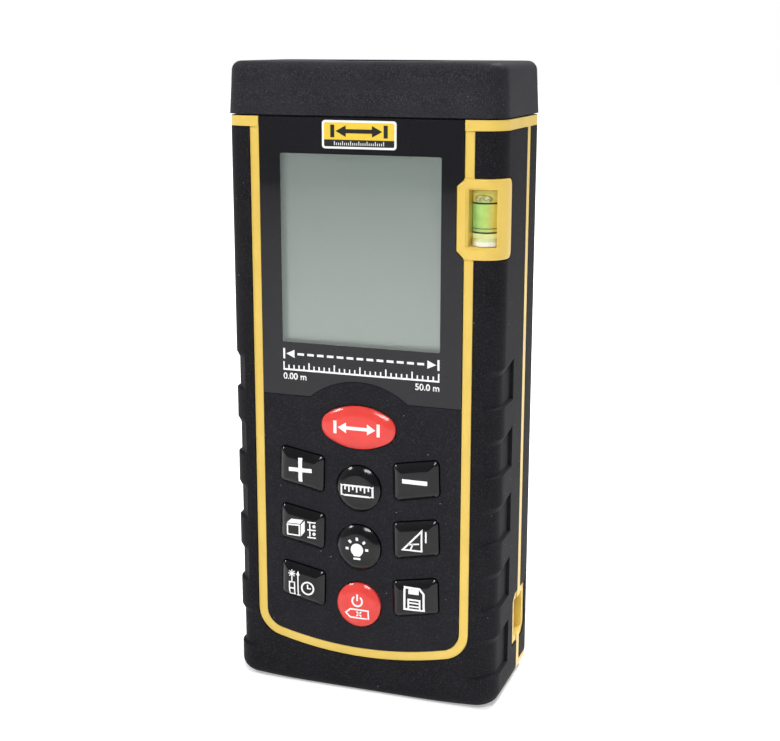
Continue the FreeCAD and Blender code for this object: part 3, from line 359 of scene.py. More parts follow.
def vial_liquid_green():
    """Fluorescent level fluid: green to amber from left to right, pale below its rings, amber above, with a
    painted glow.
    """
    shader = Shader("vial_fluid")
    low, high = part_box("vial_liquid")
    across = shader.spread(shader.axis("X"), (low.x, high.x), (0.0, 1.0))
    tone = shader.blend(shader.spread(across, (0.0, 0.45), (0.0, 1.0)), (0.22, 0.42, 0.16),
                        (0.46, 0.63, 0.15))
    tone = shader.blend(shader.spread(across, (0.6, 0.95), (0.0, 1.0)), tone, (0.64, 0.47, 0.08))
    cloud = shader.noise(1.5, detail=1.0)
    tone = shader.blend(shader.spread(cloud, (0.35, 0.7), (0.0, 0.3)), tone, (0.62, 0.80, 0.26))
    height = shader.axis("Z")
    below = shader.calc("LESS_THAN", height, VIAL_RINGS[0][0] * MM)
    above = shader.calc("GREATER_THAN", height, VIAL_RINGS[-1][0] * MM)
    tone = shader.blend(shader.calc("MULTIPLY", below, 0.9), tone, (0.76, 0.74, 0.36))
    tone = shader.blend(shader.calc("MULTIPLY", above, 0.75), tone, (0.62, 0.50, 0.12))
    # painted light: the fluid glows, standing in for light that passes through the tube
    return shader.coat(tone, 0.12, Emission_Color=tone, Emission_Strength=0.55, Coat_Weight=0.4)


def frosted(name, color, roughness=0.2):
    """Milky moulded plastic: the light guide and the label's film."""
    shader = Shader(name)
    cloud = shader.noise(1.8)
    tone = shader.blend(cloud, lighter(color, 0.88), lighter(color, 1.05))
    return shader.coat(tone, roughness, shader.bump(cloud, 0.01))


def milky_plug():
    """The vial's plug: milky at its foot, tinted by the fluid above it."""
    shader = Shader("vial_plug_plastic")
    low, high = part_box("vial_plug")
    cloud = shader.noise(1.8)
    tone = shader.blend(cloud, (0.74, 0.75, 0.62), (0.88, 0.88, 0.78))
    rise = shader.spread(shader.axis("Z"), (low.z, high.z), (0.0, 1.0))
    tone = shader.blend(shader.spread(rise, (0.5, 0.65), (0.0, 1.0)), tone, (0.62, 0.67, 0.33))
    return shader.coat(tone, 0.2, shader.bump(cloud, 0.01))


def wrapped_cell():
    """A cell's printed sleeve with a copper-coloured band round its upper end."""
    shader = Shader("cell_sleeve")
    low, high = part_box("battery_right")
    rise = shader.spread(shader.axis("Z"), (low.z, high.z), (0.0, 1.0))
    band = shader.calc("GREATER_THAN", rise, 0.72)
    tone = shader.blend(band, (0.02, 0.02, 0.024), (0.55, 0.27, 0.1))
    grain = shader.noise(0.5)
    tone = shader.blend(shader.spread(grain, (0.3, 0.7), (0.0, 0.2)), tone, (0.2, 0.2, 0.2))
    return shader.coat(tone, 0.25, shader.bump(grain, 0.004), Metallic=0.3)


# ================================================================ mesh helpers
def settle(piece, body, slot, *replaced):
    """Ties a finished piece to its body and hides the CAD nodes that it stands for; slot is not used."""
    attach(piece, body)
    if replaced:
        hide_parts(*replaced)
    return piece


def new_object(name, mesh, material):
    """A mesh put into the scene with its material."""
    piece = bpy.data.objects.new(name, mesh)
    bpy.context.scene.collection.objects.link(piece)
    mesh.materials.append(material)
    return piece


def smooth(mesh, angle_deg=35):
    """Smooth shading that keeps edges sharper than the angle."""
    mesh.shade_smooth()
    mesh.set_sharp_from_angle(angle=math.radians(angle_deg))


def thicken(piece, thickness):
    """Gives a flat mark its thickness, in mm, behind its face."""
    solid = piece.modifiers.new("thickness", "SOLIDIFY")
    solid.thickness = thickness * MM
    solid.offset = -1


def front_outline(node):
    """The (x, z) loop in mm round a CAD node's flat front face."""
    bm = bmesh.new()
    bm.from_mesh(NODES[node].data)
    bmesh.ops.remove_doubles(bm, verts=bm.verts, dist=WELD * MM)
    front = min(v.co.y for v in bm.verts) + MM / 100
    faces = {f for f in bm.faces if all(v.co.y < front for v in f.verts)}
    after = {}
    for face in faces:
        for loop in face.loops:
            if sum(other in faces for other in loop.edge.link_faces) == 1:
                after[loop.vert] = loop.link_loop_next.vert
    start = next(iter(after))
    points = [(start.co.x / MM, start.co.z / MM)]
    vert = after[start]
    while vert is not start:
        points.append((vert.co.x / MM, vert.co.z / MM))
        vert = after[vert]
    bm.free()
    return points


def rounded_rect(x, z, radius, steps=8):
    """Points round a rectangle with rounded corners, counter-clockwise."""
    corners = (
        (x[1] - radius, z[0] + radius, -90), (x[1] - radius, z[1] - radius, 0),
        (x[0] + radius, z[1] - radius, 90), (x[0] + radius, z[0] + radius, 180),
    )
    points = []
    for centre_x, centre_z, first in corners:
        for step in range(steps + 1):
            angle = math.radians(first + 90 * step / steps)
            points.append((centre_x + radius * math.cos(angle), centre_z + radius * math.sin(angle)))
    return points


def arc(centre, radius, first_deg, last_deg, steps):
    """Points along a circular arc."""
    points = []
    for step in range(steps + 1):
        angle = math.radians(first_deg + (last_deg - first_deg) * step / steps)
        points.append((centre[0] + radius * math.cos(angle), centre[1] + radius * math.sin(angle)))
    return points


class Marks:
    """Flat marks drawn in (x, z) millimetres and then laid on a surface as one thin piece."""

    def __init__(self, centre=(0.0, 0.0)):
        self.bm = bmesh.new()
        self.centre = centre

    def fill(self, points, *holes):
        """A filled outline, with holes if any."""
        loops = [[Vector((x, z, 0)) for x, z in loop] for loop in (points, *holes)]
        verts = [self.vert(p.x, p.y) for loop in loops for p in loop]
        for corners in geometry.tessellate_polygon(loops):
            self.face([verts[index] for index in corners])

    def bar(self, x, z):
        """A rectangle over two ranges."""
        self.fill([(x[0], z[0]), (x[1], z[0]), (x[1], z[1]), (x[0], z[1])])

    def disc(self, centre, radius, steps=40):
        self.fill(arc(centre, radius, 0, 360 * (steps - 1) / steps, steps - 1))

    def stroke(self, points, width, closed=False):
        """A line of even width with mitred corners."""
        path = [Vector(point) for point in points]
        count = len(path)
        sides = []
        for index, here in enumerate(path):
            before = path[index - 1] if closed or index else None
            after = path[(index + 1) % count] if closed or index < count - 1 else None
            ways = []
            if before:
                ways.append((here - before).normalized())
            if after:
                ways.append((after - here).normalized())
            along = sum(ways, Vector((0, 0))).normalized()
            across = Vector((-along.y, along.x))
            reach = width / 2 / max(across.dot(Vector((-ways[0].y, ways[0].x))), 0.3)
            sides.append((self.vert(*(here + across * reach)), self.vert(*(here - across * reach))))
        last = count if closed else count - 1
        for index in range(last):
            left, right = sides[index]
            next_left, next_right = sides[(index + 1) % count]
            self.face([left, right, next_right, next_left])

    def vert(self, x, z):
        return self.bm.verts.new(((x + self.centre[0]) * MM, 0, (z + self.centre[1]) * MM))

    def face(self, verts):
        """A face turned to the front whichever way its corners run."""
        area = geometry.area_tri(*[v.co for v in verts[:3]])
        if area < 1e-14:
            return
        a, b, c = (v.co for v in verts[:3])
        if (b - a).cross(c - a).y > 0:
            verts = verts[::-1]
        self.bm.faces.new(verts)

    def lay(self, name, material, slot, level, body=CASING, thickness=PRINT_T):
        """One piece whose front lies at level(x, z), in mm; a number is a flat level."""
        bm = self.bm
        bmesh.ops.remove_doubles(bm, verts=bm.verts, dist=WELD * MM)
        if callable(level):
            for _ in range(PRINT_HALVINGS):
                long_edges = [edge for edge in bm.edges if edge.calc_length() > PRINT_STEP * MM]
                bmesh.ops.subdivide_edges(bm, edges=long_edges, cuts=1)
            bmesh.ops.triangulate(bm, faces=[f for f in bm.faces if len(f.verts) > 4])
        for v in bm.verts:
            v.co.y = MM * (level(v.co.x / MM, v.co.z / MM) if callable(level) else level)
        mesh = bpy.data.meshes.new(name)
        bm.to_mesh(mesh)
        bm.free()
        piece = new_object(name, mesh, material)
        thicken(piece, thickness)
        return settle(piece, body, slot)


# ================================================================ keys
class Key:
    """A key's cap outline, from its CAD solid, and the height of its rounded surface."""

    def __init__(self, node):
        self.node = node
        low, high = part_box(node)
        self.crown = low.y / MM
        self.back = high.y / MM
        limit = low.y + CAP_BELOW_CROWN * MM
        flat = [Vector((v.co.x, v.co.z)) / MM for v in NODES[node].data.vertices if v.co.y < limit]
        self.hull = [flat[index] for index in geometry.convex_hull_2d(flat)]
        x = [point.x for point in self.hull]
        z = [point.y for point in self.hull]
        self.centre = Vector(((min(x) + max(x)) / 2, (min(z) + max(z)) / 2))

    def edge_distance(self, point):
        """How far inside the cap's outline a point is."""
        nearest = math.inf
        for index, here in enumerate(self.hull):
            side = here - self.hull[index - 1]
            if side.length > 1e-6:
                offset = point - here
                nearest = min(nearest, abs(side.x * offset.y - side.y * offset.x) / side.length)
        return nearest

    def reach(self, angle):
        """The outline's distance from the centre in a direction."""
        way = Vector((math.cos(angle), math.sin(angle)))
        best = 0.0
        for index, here in enumerate(self.hull):
            far = self.centre + way * REACH_LIMIT
            hit = geometry.intersect_line_line_2d(self.hull[index - 1], here, self.centre, far)
            if hit:
                best = max(best, (hit - self.centre).length)
        return best

    def height(self, x, z):
        """The y of the surface above (x, z): a rounded border, then a flat top."""
        inward = min(self.edge_distance(Vector((x, z))) / KEY_SLOPE_W, 1.0)
        return self.crown + PRINT_T + KEY_RISE * (1 - inward) ** KEY_SLOPE_POWER

    def ink(self, x, z):
        """The level of a mark printed on the key."""
        return self.height(x, z) - PRINT_T * INK_PROUD

    def build(self, material, slot):
        """The whole key as one closed mesh of rings: plunger, flange, side and rounded top."""
        bm = bmesh.new()
        angles = [2 * math.pi * step / RAYS for step in range(RAYS)]
        reaches = [self.reach(angle) for angle in angles]

        def ring(radii, level):
            verts = []
            for angle, radius in zip(angles, radii):
                x = self.centre.x + radius * math.cos(angle)
                z = self.centre.y + radius * math.sin(angle)
                y = level(x, z) if callable(level) else level
                verts.append(bm.verts.new((x * MM, y * MM, z * MM)))
            return verts

        plunger = [PLUNGER_R] * RAYS
        flange = [reach + FLANGE_GROW for reach in reaches]
        flange_back = self.back - PLUNGER_LEN
        flange_front = flange_back - FLANGE_T
        rings = [
            ring(plunger, self.back), ring(plunger, flange_back), ring(flange, flange_back),
            ring(flange, flange_front), ring(reaches, flange_front),
        ]
        for step in range(DOME_RINGS):
            share = 1 - (step / DOME_RINGS) ** DOME_CROWDING
            rings.append(ring([reach * share for reach in reaches], self.height))
        for outer, inner in zip(rings, rings[1:]):
            for index in range(RAYS):
                after = (index + 1) % RAYS
                bm.faces.new((outer[index], outer[after], inner[after], inner[index]))
        for end, flip in ((rings[0], True), (rings[-1], False)):
            middle = bm.verts.new(sum((v.co for v in end), Vector()) / RAYS)
            for index in range(RAYS):
                corners = (end[index], end[(index + 1) % RAYS], middle)
                bm.faces.new(corners[::-1] if flip else corners)
        bmesh.ops.recalc_face_normals(bm, faces=bm.faces)
        mesh = bpy.data.meshes.new(self.node + "_cap")
        bm.to_mesh(mesh)
        bm.free()
        smooth(mesh)
        piece = new_object(self.node + "_cap", mesh, material)
        return settle(piece, self.node, slot, self.node)

    def marks(self):
        """An empty sign, drawn round the key's centre."""
        return Marks(self.centre)

    def add_legend(self, marks, ink):
        """Lays a drawn sign on the key."""
        return marks.lay(self.node + "_legend", ink, "vial_white", self.ink, self.node)


def arrow_between_bars(marks, half_w, bar_h, bar_w, line_w, head):
    """Generic distance sign: a double-headed arrow between two end bars."""
    for side in (-1, 1):
        outer = side * half_w
        inner = side * (half_w - bar_w)
        marks.bar(sorted((outer, inner)), (-bar_h / 2, bar_h / 2))
        tip = side * (half_w - bar_w - ARROW_GAP)
        back = tip - side * head[0]
        marks.fill([(tip, 0), (back, head[1] / 2), (back, -head[1] / 2)])
    reach = half_w - bar_w - ARROW_GAP - head[0]
    marks.bar((-reach, reach), (-line_w / 2, line_w / 2))


def draw_measure(marks):
    """Take a measurement: the distance sign."""
    arrow_between_bars(marks, half_w=4.7, bar_h=2.5, bar_w=0.62, line_w=0.66, head=(1.7, 2.1))


def draw_plus(marks):
    """Add a reading: a plus of three bars that don't overlap."""
    marks.bar((-2.4, 2.4), (-0.4, 0.4))
    marks.bar((-0.4, 0.4), (-2.4, -0.4))
    marks.bar((-0.4, 0.4), (0.4, 2.4))


def draw_minus(marks):
    """Subtract a reading: a minus."""
    marks.bar((-2.5, 2.5), (-0.45, 0.4))


def draw_unit(marks):
    """Change the unit: a short ruler."""
    marks.stroke([(-3.2, -1.2), (3.2, -1.2), (3.2, 0.75), (-3.2, 0.75)], 0.36, closed=True)
    for tick in range(1, 8):
        x = -3.2 + 0.8 * tick
        length = 1.1 if tick % 2 == 0 else 0.7
        marks.bar((x - 0.15, x + 0.15), (0.6 - length, 0.6))


def draw_light(marks):
    """Switch the display light: a bulb with five rays."""
    glass = arc((0, -0.25), 1.28, -50, 230, 40)
    marks.fill(glass + [(-0.62, -1.55), (0.62, -1.55)])
    marks.bar((-0.72, 0.72), (-2.25, -1.85))
    for angle in (0, 45, 90, 135, 180):
        way = Vector((math.cos(math.radians(angle)), math.sin(math.radians(angle))))
        base = Vector((0, -0.1))
        marks.stroke([base + way * 1.72, base + way * 2.35], 0.5)


def draw_area(marks):
    """Area and volume: a box beside a stacked sign."""
    left, right, low, high = -2.9, -0.35, -1.75, 0.35
    lift, skew = 0.95, 0.85
    marks.stroke([(left, low), (right, low), (right, high), (left, high)], 0.3, closed=True)
    marks.fill([(left - 0.15, high + 0.3), (right + 0.15, high + 0.3), (right + skew, high + lift + 0.25),
                (left + skew, high + lift + 0.25)])
    marks.fill([(right + 0.3, low - 0.15), (right + 0.3, high + 0.2), (right + skew + 0.3, high + lift + 0.1),
                (right + skew + 0.3, low + 0.9)])
    for level in (-1.9, -0.35, 1.2):
        marks.bar((1.35, 3.1), (level - 0.13, level + 0.13))
    for level in (-1.12, 0.42):
        marks.bar((1.75, 2.0), (level - 0.6, level + 0.6))
        marks.disc((2.75, level), 0.33, 24)


def draw_triangle(marks):
    """Indirect measurement: a right triangle with its height beside it."""
    marks.stroke([(-2.3, -1.95), (1.45, -1.95), (1.45, 2.1)], 0.34, closed=True)
    marks.stroke([(-1.2, -0.85), (0.95, -0.5)], 0.28)
    marks.stroke([(-0.75, -1.75), (-0.25, -0.65)], 0.28)
    marks.bar((2.15, 2.45), (-0.1, 2.1))


def draw_reference(marks):
    """Reference edge and timer: a device firing a beam beside an arrow and a clock."""
    for angle in range(0, 180, 45):
        way = Vector((math.cos(math.radians(angle)), math.sin(math.radians(angle)))) * 0.75
        centre = Vector((-2.1, 2.0))
        marks.stroke([centre - way, centre + way], 0.2)
    marks.bar((-2.23, -1.97), (0.35, 1.3))
    for low in (-2.35, -1.05):
        high = low + 1.25
        marks.stroke([(-2.65, low), (-1.55, low), (-1.55, high), (-2.65, high)], 0.26, closed=True)
    marks.bar((-0.93, -0.67), (-2.35, 1.9))
    marks.bar((-1.2, -0.4), (-2.6, -2.35))
    marks.fill([(-1.2, 1.75), (-0.4, 1.75), (-0.8, 2.6)])
    marks.stroke(arc((1.25, -0.75), 1.25, 0, 350, 35), 0.34, closed=True)
    marks.stroke([(1.25, 0.05), (1.25, -0.75), (1.95, -0.75)], 0.28)


def draw_memory(marks):
    """Stored readings: a data card."""
    marks.stroke([(-1.95, -2.2), (1.95, -2.2), (1.95, 1.3), (1.1, 2.2), (-1.95, 2.2)], 0.42, closed=True)
    marks.bar((-1.15, 0.95), (1.0, 1.95))
    marks.stroke([(-1.15, -2.0), (-1.15, -0.15), (1.15, -0.15), (1.15, -2.0)], 0.34)
    marks.bar((-0.95, 0.95), (-0.95, -0.65))
    marks.bar((-0.95, 0.95), (-1.65, -1.35))


def draw_off(marks):
    """Power off above clear: a power sign over an erase sign."""
    marks.stroke(arc((0, 1.05), 1.02, 125, 415, 36), 0.36)
    marks.bar((-0.18, 0.18), (1.1, 2.45))
    marks.stroke([(-2.4, -1.55), (-1.45, -0.7), (2.3, -0.7), (2.3, -2.4), (-1.45, -2.4)], 0.3, closed=True)
    marks.stroke([(-0.15, -2.0), (0.85, -1.1)], 0.3)
    marks.stroke([(-0.15, -1.1), (0.85, -2.0)], 0.3)


def make_keys():
    """All ten keys with their printed signs."""
    black = glossy_key("key_gloss_black", (0.007, 0.007, 0.008))
    red = glossy_key("key_gloss_red", (0.72, 0.060, 0.050))
    ink = printed("legend_white", (0.86, 0.86, 0.86))
    drawings = {
        "key_measure": draw_measure, "key_plus": draw_plus, "key_minus": draw_minus, "key_unit": draw_unit,
        "key_area": draw_area, "key_light": draw_light, "key_triangle": draw_triangle,
        "key_reference": draw_reference, "key_memory": draw_memory, "key_off": draw_off,
    }
    for node, draw in drawings.items():
        is_red = node in ("key_measure", "key_off")
        key = Key(node)
        key.build(red if is_red else black, "key_red" if is_red else "key_black")
        marks = key.marks()
        draw(marks)
        key.add_legend(marks, ink)


# ================================================================ front panel print
def lens_mask():
    """Glossy black border of the display cover, open over the display."""
    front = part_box("display_lens")[0].y / MM
    marks = Marks()
    marks.fill(front_outline("display_lens"), rounded_rect(WINDOW_X, WINDOW_Z, WINDOW_R)[::-1])
    shader = Shader("cover_print")
    cloud = shader.noise(16.0)
    tone = shader.blend(shader.spread(cloud, (0.3, 0.7), (0.0, 1.0)), (0.0085, 0.0085, 0.0108),
                        (0.0110, 0.0110, 0.0135))
    smear = shader.spread(shader.noise(14.0), (0.35, 0.7), (0.03, 0.07))
    ink = shader.coat(tone, smear, Specular_IOR_Level=0.38)
    marks.lay("display_cover_print", ink, "plate_black", front - MASK_T, thickness=MASK_T)


def lens_scale(ink, level):
    """Generic distance scale under the display."""
    marks = Marks()
    marks.bar((-SCALE_HALF_W, SCALE_HALF_W), (SCALE_Z - SCALE_LINE_W / 2, SCALE_Z + SCALE_LINE_W / 2))
    pitch = (2 * SCALE_HALF_W - SCALE_TICK_W) / SCALE_DIVISIONS
    for tick in range(SCALE_DIVISIONS + 1):
        x = -SCALE_HALF_W + SCALE_TICK_W / 2 + tick * pitch
        height = SCALE_LONG if tick % SCALE_LONG_EVERY == 0 else SCALE_SHORT
        foot = SCALE_Z + SCALE_LINE_W / 2
        marks.bar((x - SCALE_TICK_W / 2, x + SCALE_TICK_W / 2), (foot, foot + height - SCALE_LINE_W / 2))
    marks.lay("display_scale", ink, "vial_white", level)


def lens_dimension_line(ink, level):
    """Dashed dimension line with end bars between the display and its scale."""
    marks = Marks((0.0, DIMENSION_Z))
    bar = DIMENSION_BAR_H / 2
    foot, tip, head = DIMENSION_HEAD
    for side in (-1, 1):
        marks.bar(sorted((side * SCALE_HALF_W, side * (SCALE_HALF_W - DIMENSION_BAR_W))), (-bar, bar))
        marks.fill([(side * tip, 0), (side * foot, head), (side * foot, -head)])
    pitch = 2 * DIMENSION_REACH / DIMENSION_DASHES
    for dash in range(DIMENSION_DASHES):
        left = -DIMENSION_REACH + pitch * dash + DASH_GAP / 2
        marks.bar((left, left + pitch - DASH_GAP), (-DASH_H / 2, DASH_H / 2))
    marks.lay("display_dimension_line", ink, "vial_white", level)


def scale_number(name, words, left, ink, level):
    """A small number under one end of the scale; left tells which end it lines up with."""
    text = bpy.data.curves.new(name, "FONT")
    text.body = words
    text.offset = DIGIT_BOLD
    holder = bpy.data.objects.new(name + "_text", text)
    bpy.context.scene.collection.objects.link(holder)
    bpy.context.view_layer.update()
    mesh = bpy.data.meshes.new_from_object(holder.evaluated_get(bpy.context.evaluated_depsgraph_get()))
    bpy.data.objects.remove(holder)
    low = Vector((min(v.co.x for v in mesh.vertices), min(v.co.y for v in mesh.vertices)))
    high = Vector((max(v.co.x for v in mesh.vertices), max(v.co.y for v in mesh.vertices)))
    size = DIGIT_H / (high.y - low.y)
    shift = -SCALE_HALF_W - low.x * size if left else SCALE_HALF_W - high.x * size
    for v in mesh.vertices:
        v.co = Vector((v.co.x * size + shift, level, (v.co.y - low.y) * size + DIGIT_Z)) * MM
    mesh.name = name
    mesh.update()
    piece = new_object(name, mesh, ink)
    thicken(piece, PRINT_T)
    settle(piece, CASING, "vial_white")


def make_lens():
    """The display cover's print: border, scale, numbers and dimension line."""
    lens_mask()
    ink = printed("cover_white", (0.88, 0.88, 0.88))
    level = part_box("display_lens")[0].y / MM - PRINT_T
    lens_scale(ink, level)
    lens_dimension_line(ink, level)
    scale_number("display_scale_low", "0.00 m", True, ink, level)
    scale_number("display_scale_high", "50.0 m", False, ink, level)


def make_badge():
    """The badge's yellow field and black band with a generic distance sign, inside a white rim."""
    low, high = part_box("front_badge")
    front = low.y / MM
    x = (low.x / MM + BADGE_BORDER, high.x / MM - BADGE_BORDER)
    z = (low.z / MM + BADGE_BORDER, high.z / MM - BADGE_BORDER)
    split = z[0] + BADGE_BAND_H
    yellow = printed("badge_yellow_ink", (0.82, 0.56, 0.05), 0.3)
    black = printed("badge_black_ink", (0.012, 0.012, 0.012), 0.3)
    white = printed("badge_white_ink", (0.85, 0.85, 0.85), 0.3)

    field = Marks()
    field.fill(arc((x[1] - 0.4, z[1] - 0.4), 0.4, 0, 90, 8) + arc((x[0] + 0.4, z[1] - 0.4), 0.4, 90, 180, 8)
               + [(x[0], split), (x[1], split)])
    field.lay("badge_field", yellow, "badge_yellow", front - 0.01)
    band = Marks()
    band.fill(arc((x[0] + 0.3, z[0] + 0.3), 0.3, 180, 270, 8)
              + arc((x[1] - 0.3, z[0] + 0.3), 0.3, 270, 360, 8) + [(x[1], split), (x[0], split)])
    band.lay("badge_band", black, "plate_black", front - 0.01)
    sign = Marks((0.0, (split + z[1]) / 2))
    arrow_between_bars(sign, half_w=5.6, bar_h=2.3, bar_w=0.8, line_w=0.75, head=(2.0, 2.1))
    sign.lay("badge_sign", black, "plate_black", front - 0.02)
    ticks = Marks((0.0, z[0]))
    for tick in range(-12, 13):
        height = 0.75 if tick % 4 == 0 else 0.45
        ticks.bar((0.4 * tick - 0.07, 0.4 * tick + 0.07), (0.25, 0.25 + height))
    ticks.lay("badge_ticks", white, "vial_white", front - 0.02)


# ================================================================ vial
def bubble_glint(centre, radii):
    """Air in the fluid, drawn as painted light: painted highlights mottle its inside, painted shade makes its
    dark outline, and a painted highlight makes a lime crescent along its foot; it also has a painted glow.
    """
    shader = Shader("bubble_glint")
    across = shader.calc("DIVIDE", shader.calc("SUBTRACT", shader.axis("X"), centre.x), radii.x)
    up = shader.calc("DIVIDE", shader.calc("SUBTRACT", shader.axis("Z"), centre.z), radii.z)
    squares = shader.calc("ADD", shader.calc("MULTIPLY", across, across), shader.calc("MULTIPLY", up, up))
    away = shader.calc("SQRT", squares)
    cloud = shader.noise(0.7, detail=2.0)
    # painted highlights: pale mottling inside the bubble
    tone = shader.blend(shader.spread(cloud, (0.45, 0.65), (0.0, 1.0)), (0.55, 0.50, 0.18),
                        (0.88, 0.86, 0.55))
    # painted shade: the bubble's dark outline
    tone = shader.blend(shader.spread(away, (0.56, 0.68), (0.0, 0.85)), tone, (0.24, 0.20, 0.05))
    # painted highlight: a lighter rim outside the dark outline
    tone = shader.blend(shader.spread(away, (0.72, 0.8), (0.0, 1.0)), tone, (0.60, 0.60, 0.17))
    # painted highlight: the lime crescent along the bubble's foot
    tone = shader.blend(shader.spread(up, (-0.55, -0.35), (1.0, 0.0)), tone, (0.60, 0.92, 0.36))
    # painted light: a weak glow
    return shader.coat(tone, 0.3, Specular_IOR_Level=0.3, Emission_Color=tone, Emission_Strength=0.3)


def make_bubble():
    """The air bubble resting at the top of the level's fluid, bent round with the tube, carrying the bubble's
    painted light.
    """
    tube_low, tube_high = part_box("vial_tube")
    radii = Vector(BUBBLE_R) * MM
    curve_r = (tube_high.x - tube_low.x) / 2 - FLUID_IN * MM
    centre = Vector(((tube_low.x + tube_high.x) / 2, tube_low.y + (FLUID_IN + BUBBLE_IN) * MM,
                     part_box("vial_liquid")[1].z - radii.z))
    bm = bmesh.new()
    bmesh.ops.create_uvsphere(bm, u_segments=64, v_segments=32, radius=1.0)
    for v in bm.verts:
        offset = Vector(v.co[axis] * radii[axis] for axis in range(3))
        sag = curve_r - math.sqrt(curve_r ** 2 - offset.x ** 2)
        v.co = centre + offset + Vector((0, sag, 0))
    mesh = bpy.data.meshes.new("vial_bubble")
    bm.to_mesh(mesh)
    bm.free()
    mesh.shade_smooth()
    settle(new_object("vial_bubble", mesh, bubble_glint(centre, radii)), CASING, "vial_clear")


def make_fluid():
    """The level's fluid as it looks from outside: the round tube spreads it to nearly its full width."""
    tube_low, tube_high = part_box("vial_tube")
    low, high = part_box("vial_liquid")
    centre = (tube_low + tube_high) / 2
    radius = (tube_high.x - tube_low.x) / 2 - FLUID_IN * MM
    bm = bmesh.new()
    bmesh.ops.create_cone(bm, cap_ends=True, segments=ROUND_STEPS, radius1=radius, radius2=radius,
                          depth=high.z - low.z)
    bmesh.ops.translate(bm, verts=bm.verts, vec=(centre.x, centre.y, (low.z + high.z) / 2))
    mesh = bpy.data.meshes.new("vial_fluid")
    bm.to_mesh(mesh)
    bm.free()
    smooth(mesh)
    settle(new_object("vial_fluid", mesh, vial_liquid_green()), CASING, "vial_green", "vial_liquid")


def make_ring(name, level, width, ink):
    """A thin black band round the vial's tube."""
    low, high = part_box("vial_tube")
    centre = (low + high) / 2
    outer = (high.x - low.x) / 2 + RING_PROUD * MM
    inner = outer - RING_T * MM
    bm = bmesh.new()
    loops = []
    for radius, side in ((inner, -0.5), (outer, -0.5), (outer, 0.5), (inner, 0.5)):
        loop = []
        for step in range(ROUND_STEPS):
            angle = 2 * math.pi * step / ROUND_STEPS
            place = (centre.x + radius * math.cos(angle), centre.y + radius * math.sin(angle),
                     (level + side * width) * MM)
            loop.append(bm.verts.new(place))
        loops.append(loop)
    for index, loop in enumerate(loops):
        other = loops[(index + 1) % len(loops)]
        for step in range(ROUND_STEPS):
            after = (step + 1) % ROUND_STEPS
            bm.faces.new((loop[step], loop[after], other[after], other[step]))
    bmesh.ops.recalc_face_normals(bm, faces=bm.faces)
    mesh = bpy.data.meshes.new(name)
    bm.to_mesh(mesh)
    bm.free()
    smooth(mesh)
    settle(new_object(name, mesh, ink), CASING, "plate_black")


def make_vial():
    """The level's fluid and bubble, and the black rings round its tube."""
    make_fluid()
    make_bubble()
    ink = printed("vial_ring_ink", (0.01, 0.012, 0.01), 0.3)
    for number, (level, width) in enumerate(VIAL_RINGS, 1):
        make_ring(f"vial_ring_{number}", level, width, ink)


def make_label_frame():
    """The thin printed border of the plain label on the back."""
    low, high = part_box("rear_label")
    x = (low.x / MM + LABEL_MARGIN, high.x / MM - LABEL_MARGIN)
    z = (low.z / MM + LABEL_MARGIN, high.z / MM - LABEL_MARGIN)
    frame_line = Marks()
    frame_line.stroke(rounded_rect(x, z, 0.8), 0.3, closed=True)
    frame_line.lay("rear_label_border", printed("label_ink", (0.02, 0.02, 0.022)), "plate_black",
                   high.y / MM)


# ================================================================ CAD nodes
def dress_cad_nodes():
    """A finished material on every CAD node: plated steel where none is listed."""
    yellow = yellow_plastic()
    rubber = soft_black()
    steel = metal("plated_steel", (0.62, 0.62, 0.61), 0.28, 0.5, (1, 1, 6))
    circuit = circuit_green()
    chip = grained("chip_epoxy", (0.02, 0.02, 0.021), 0.55, 0.15, 0.006)
    glass = clear_gloss("coated_glass", (0.86, 0.90, 0.94), 0.02)
    cell = wrapped_cell()
    materials = {
        "front_shell": yellow, "rear_shell": yellow, "front_grip": rubber, "rear_grip": rubber,
        "nose_cap": cap_black(), "keypad_plate": plate_black(), "battery_door": door_black(),
        "nose_seal": grained("seal_rubber", (0.012, 0.012, 0.012), 0.7, 0.3, 0.01),
        "display_lens": clear_gloss("display_cover", (0.97, 0.97, 0.97), 0.03),
        "lcd_panel": lcd_grey(),
        "lcd_light_guide": frosted("light_guide", (0.8, 0.81, 0.8)),
        "lcd_connector_strip": grained("connector_silicone", (0.25, 0.25, 0.26), 0.6, 0.3, 0.01),
        "keypad_mat": grained("keypad_silicone", (0.30, 0.31, 0.32), 0.6, 0.4, 0.01),
        "front_badge": printed("badge_rim", (0.86, 0.86, 0.84), 0.3),
        "rear_label": frosted("label_film", (0.30, 0.31, 0.32), 0.5),
        "vial_tube": clear_gloss("vial_acrylic", (0.95, 0.98, 0.93), 0.02),
        "vial_plug": milky_plug(),
        "receiver_lens": glass, "laser_window": glass, "collimator_lens": glass,
        "optical_filter": clear_gloss("red_filter", (0.6, 0.02, 0.02), 0.02),
        "optics_chassis": metal("die_cast_metal", (0.55, 0.56, 0.57), 0.45, 0.35),
        "laser_barrel": metal("turned_brass", (0.72, 0.53, 0.24), 0.25, 0.3, (1, 1, 10)),
        "flex_cable": printed("flex_film", (0.5, 0.22, 0.04), 0.3),
        "main_board": circuit, "receiver_board": circuit, "board_chips": chip, "buzzer": chip,
        "battery_left": cell, "battery_right": cell,
    }
    for name, node in NODES.items():
        node.data.materials.clear()
        node.data.materials.append(materials.get(name, steel))


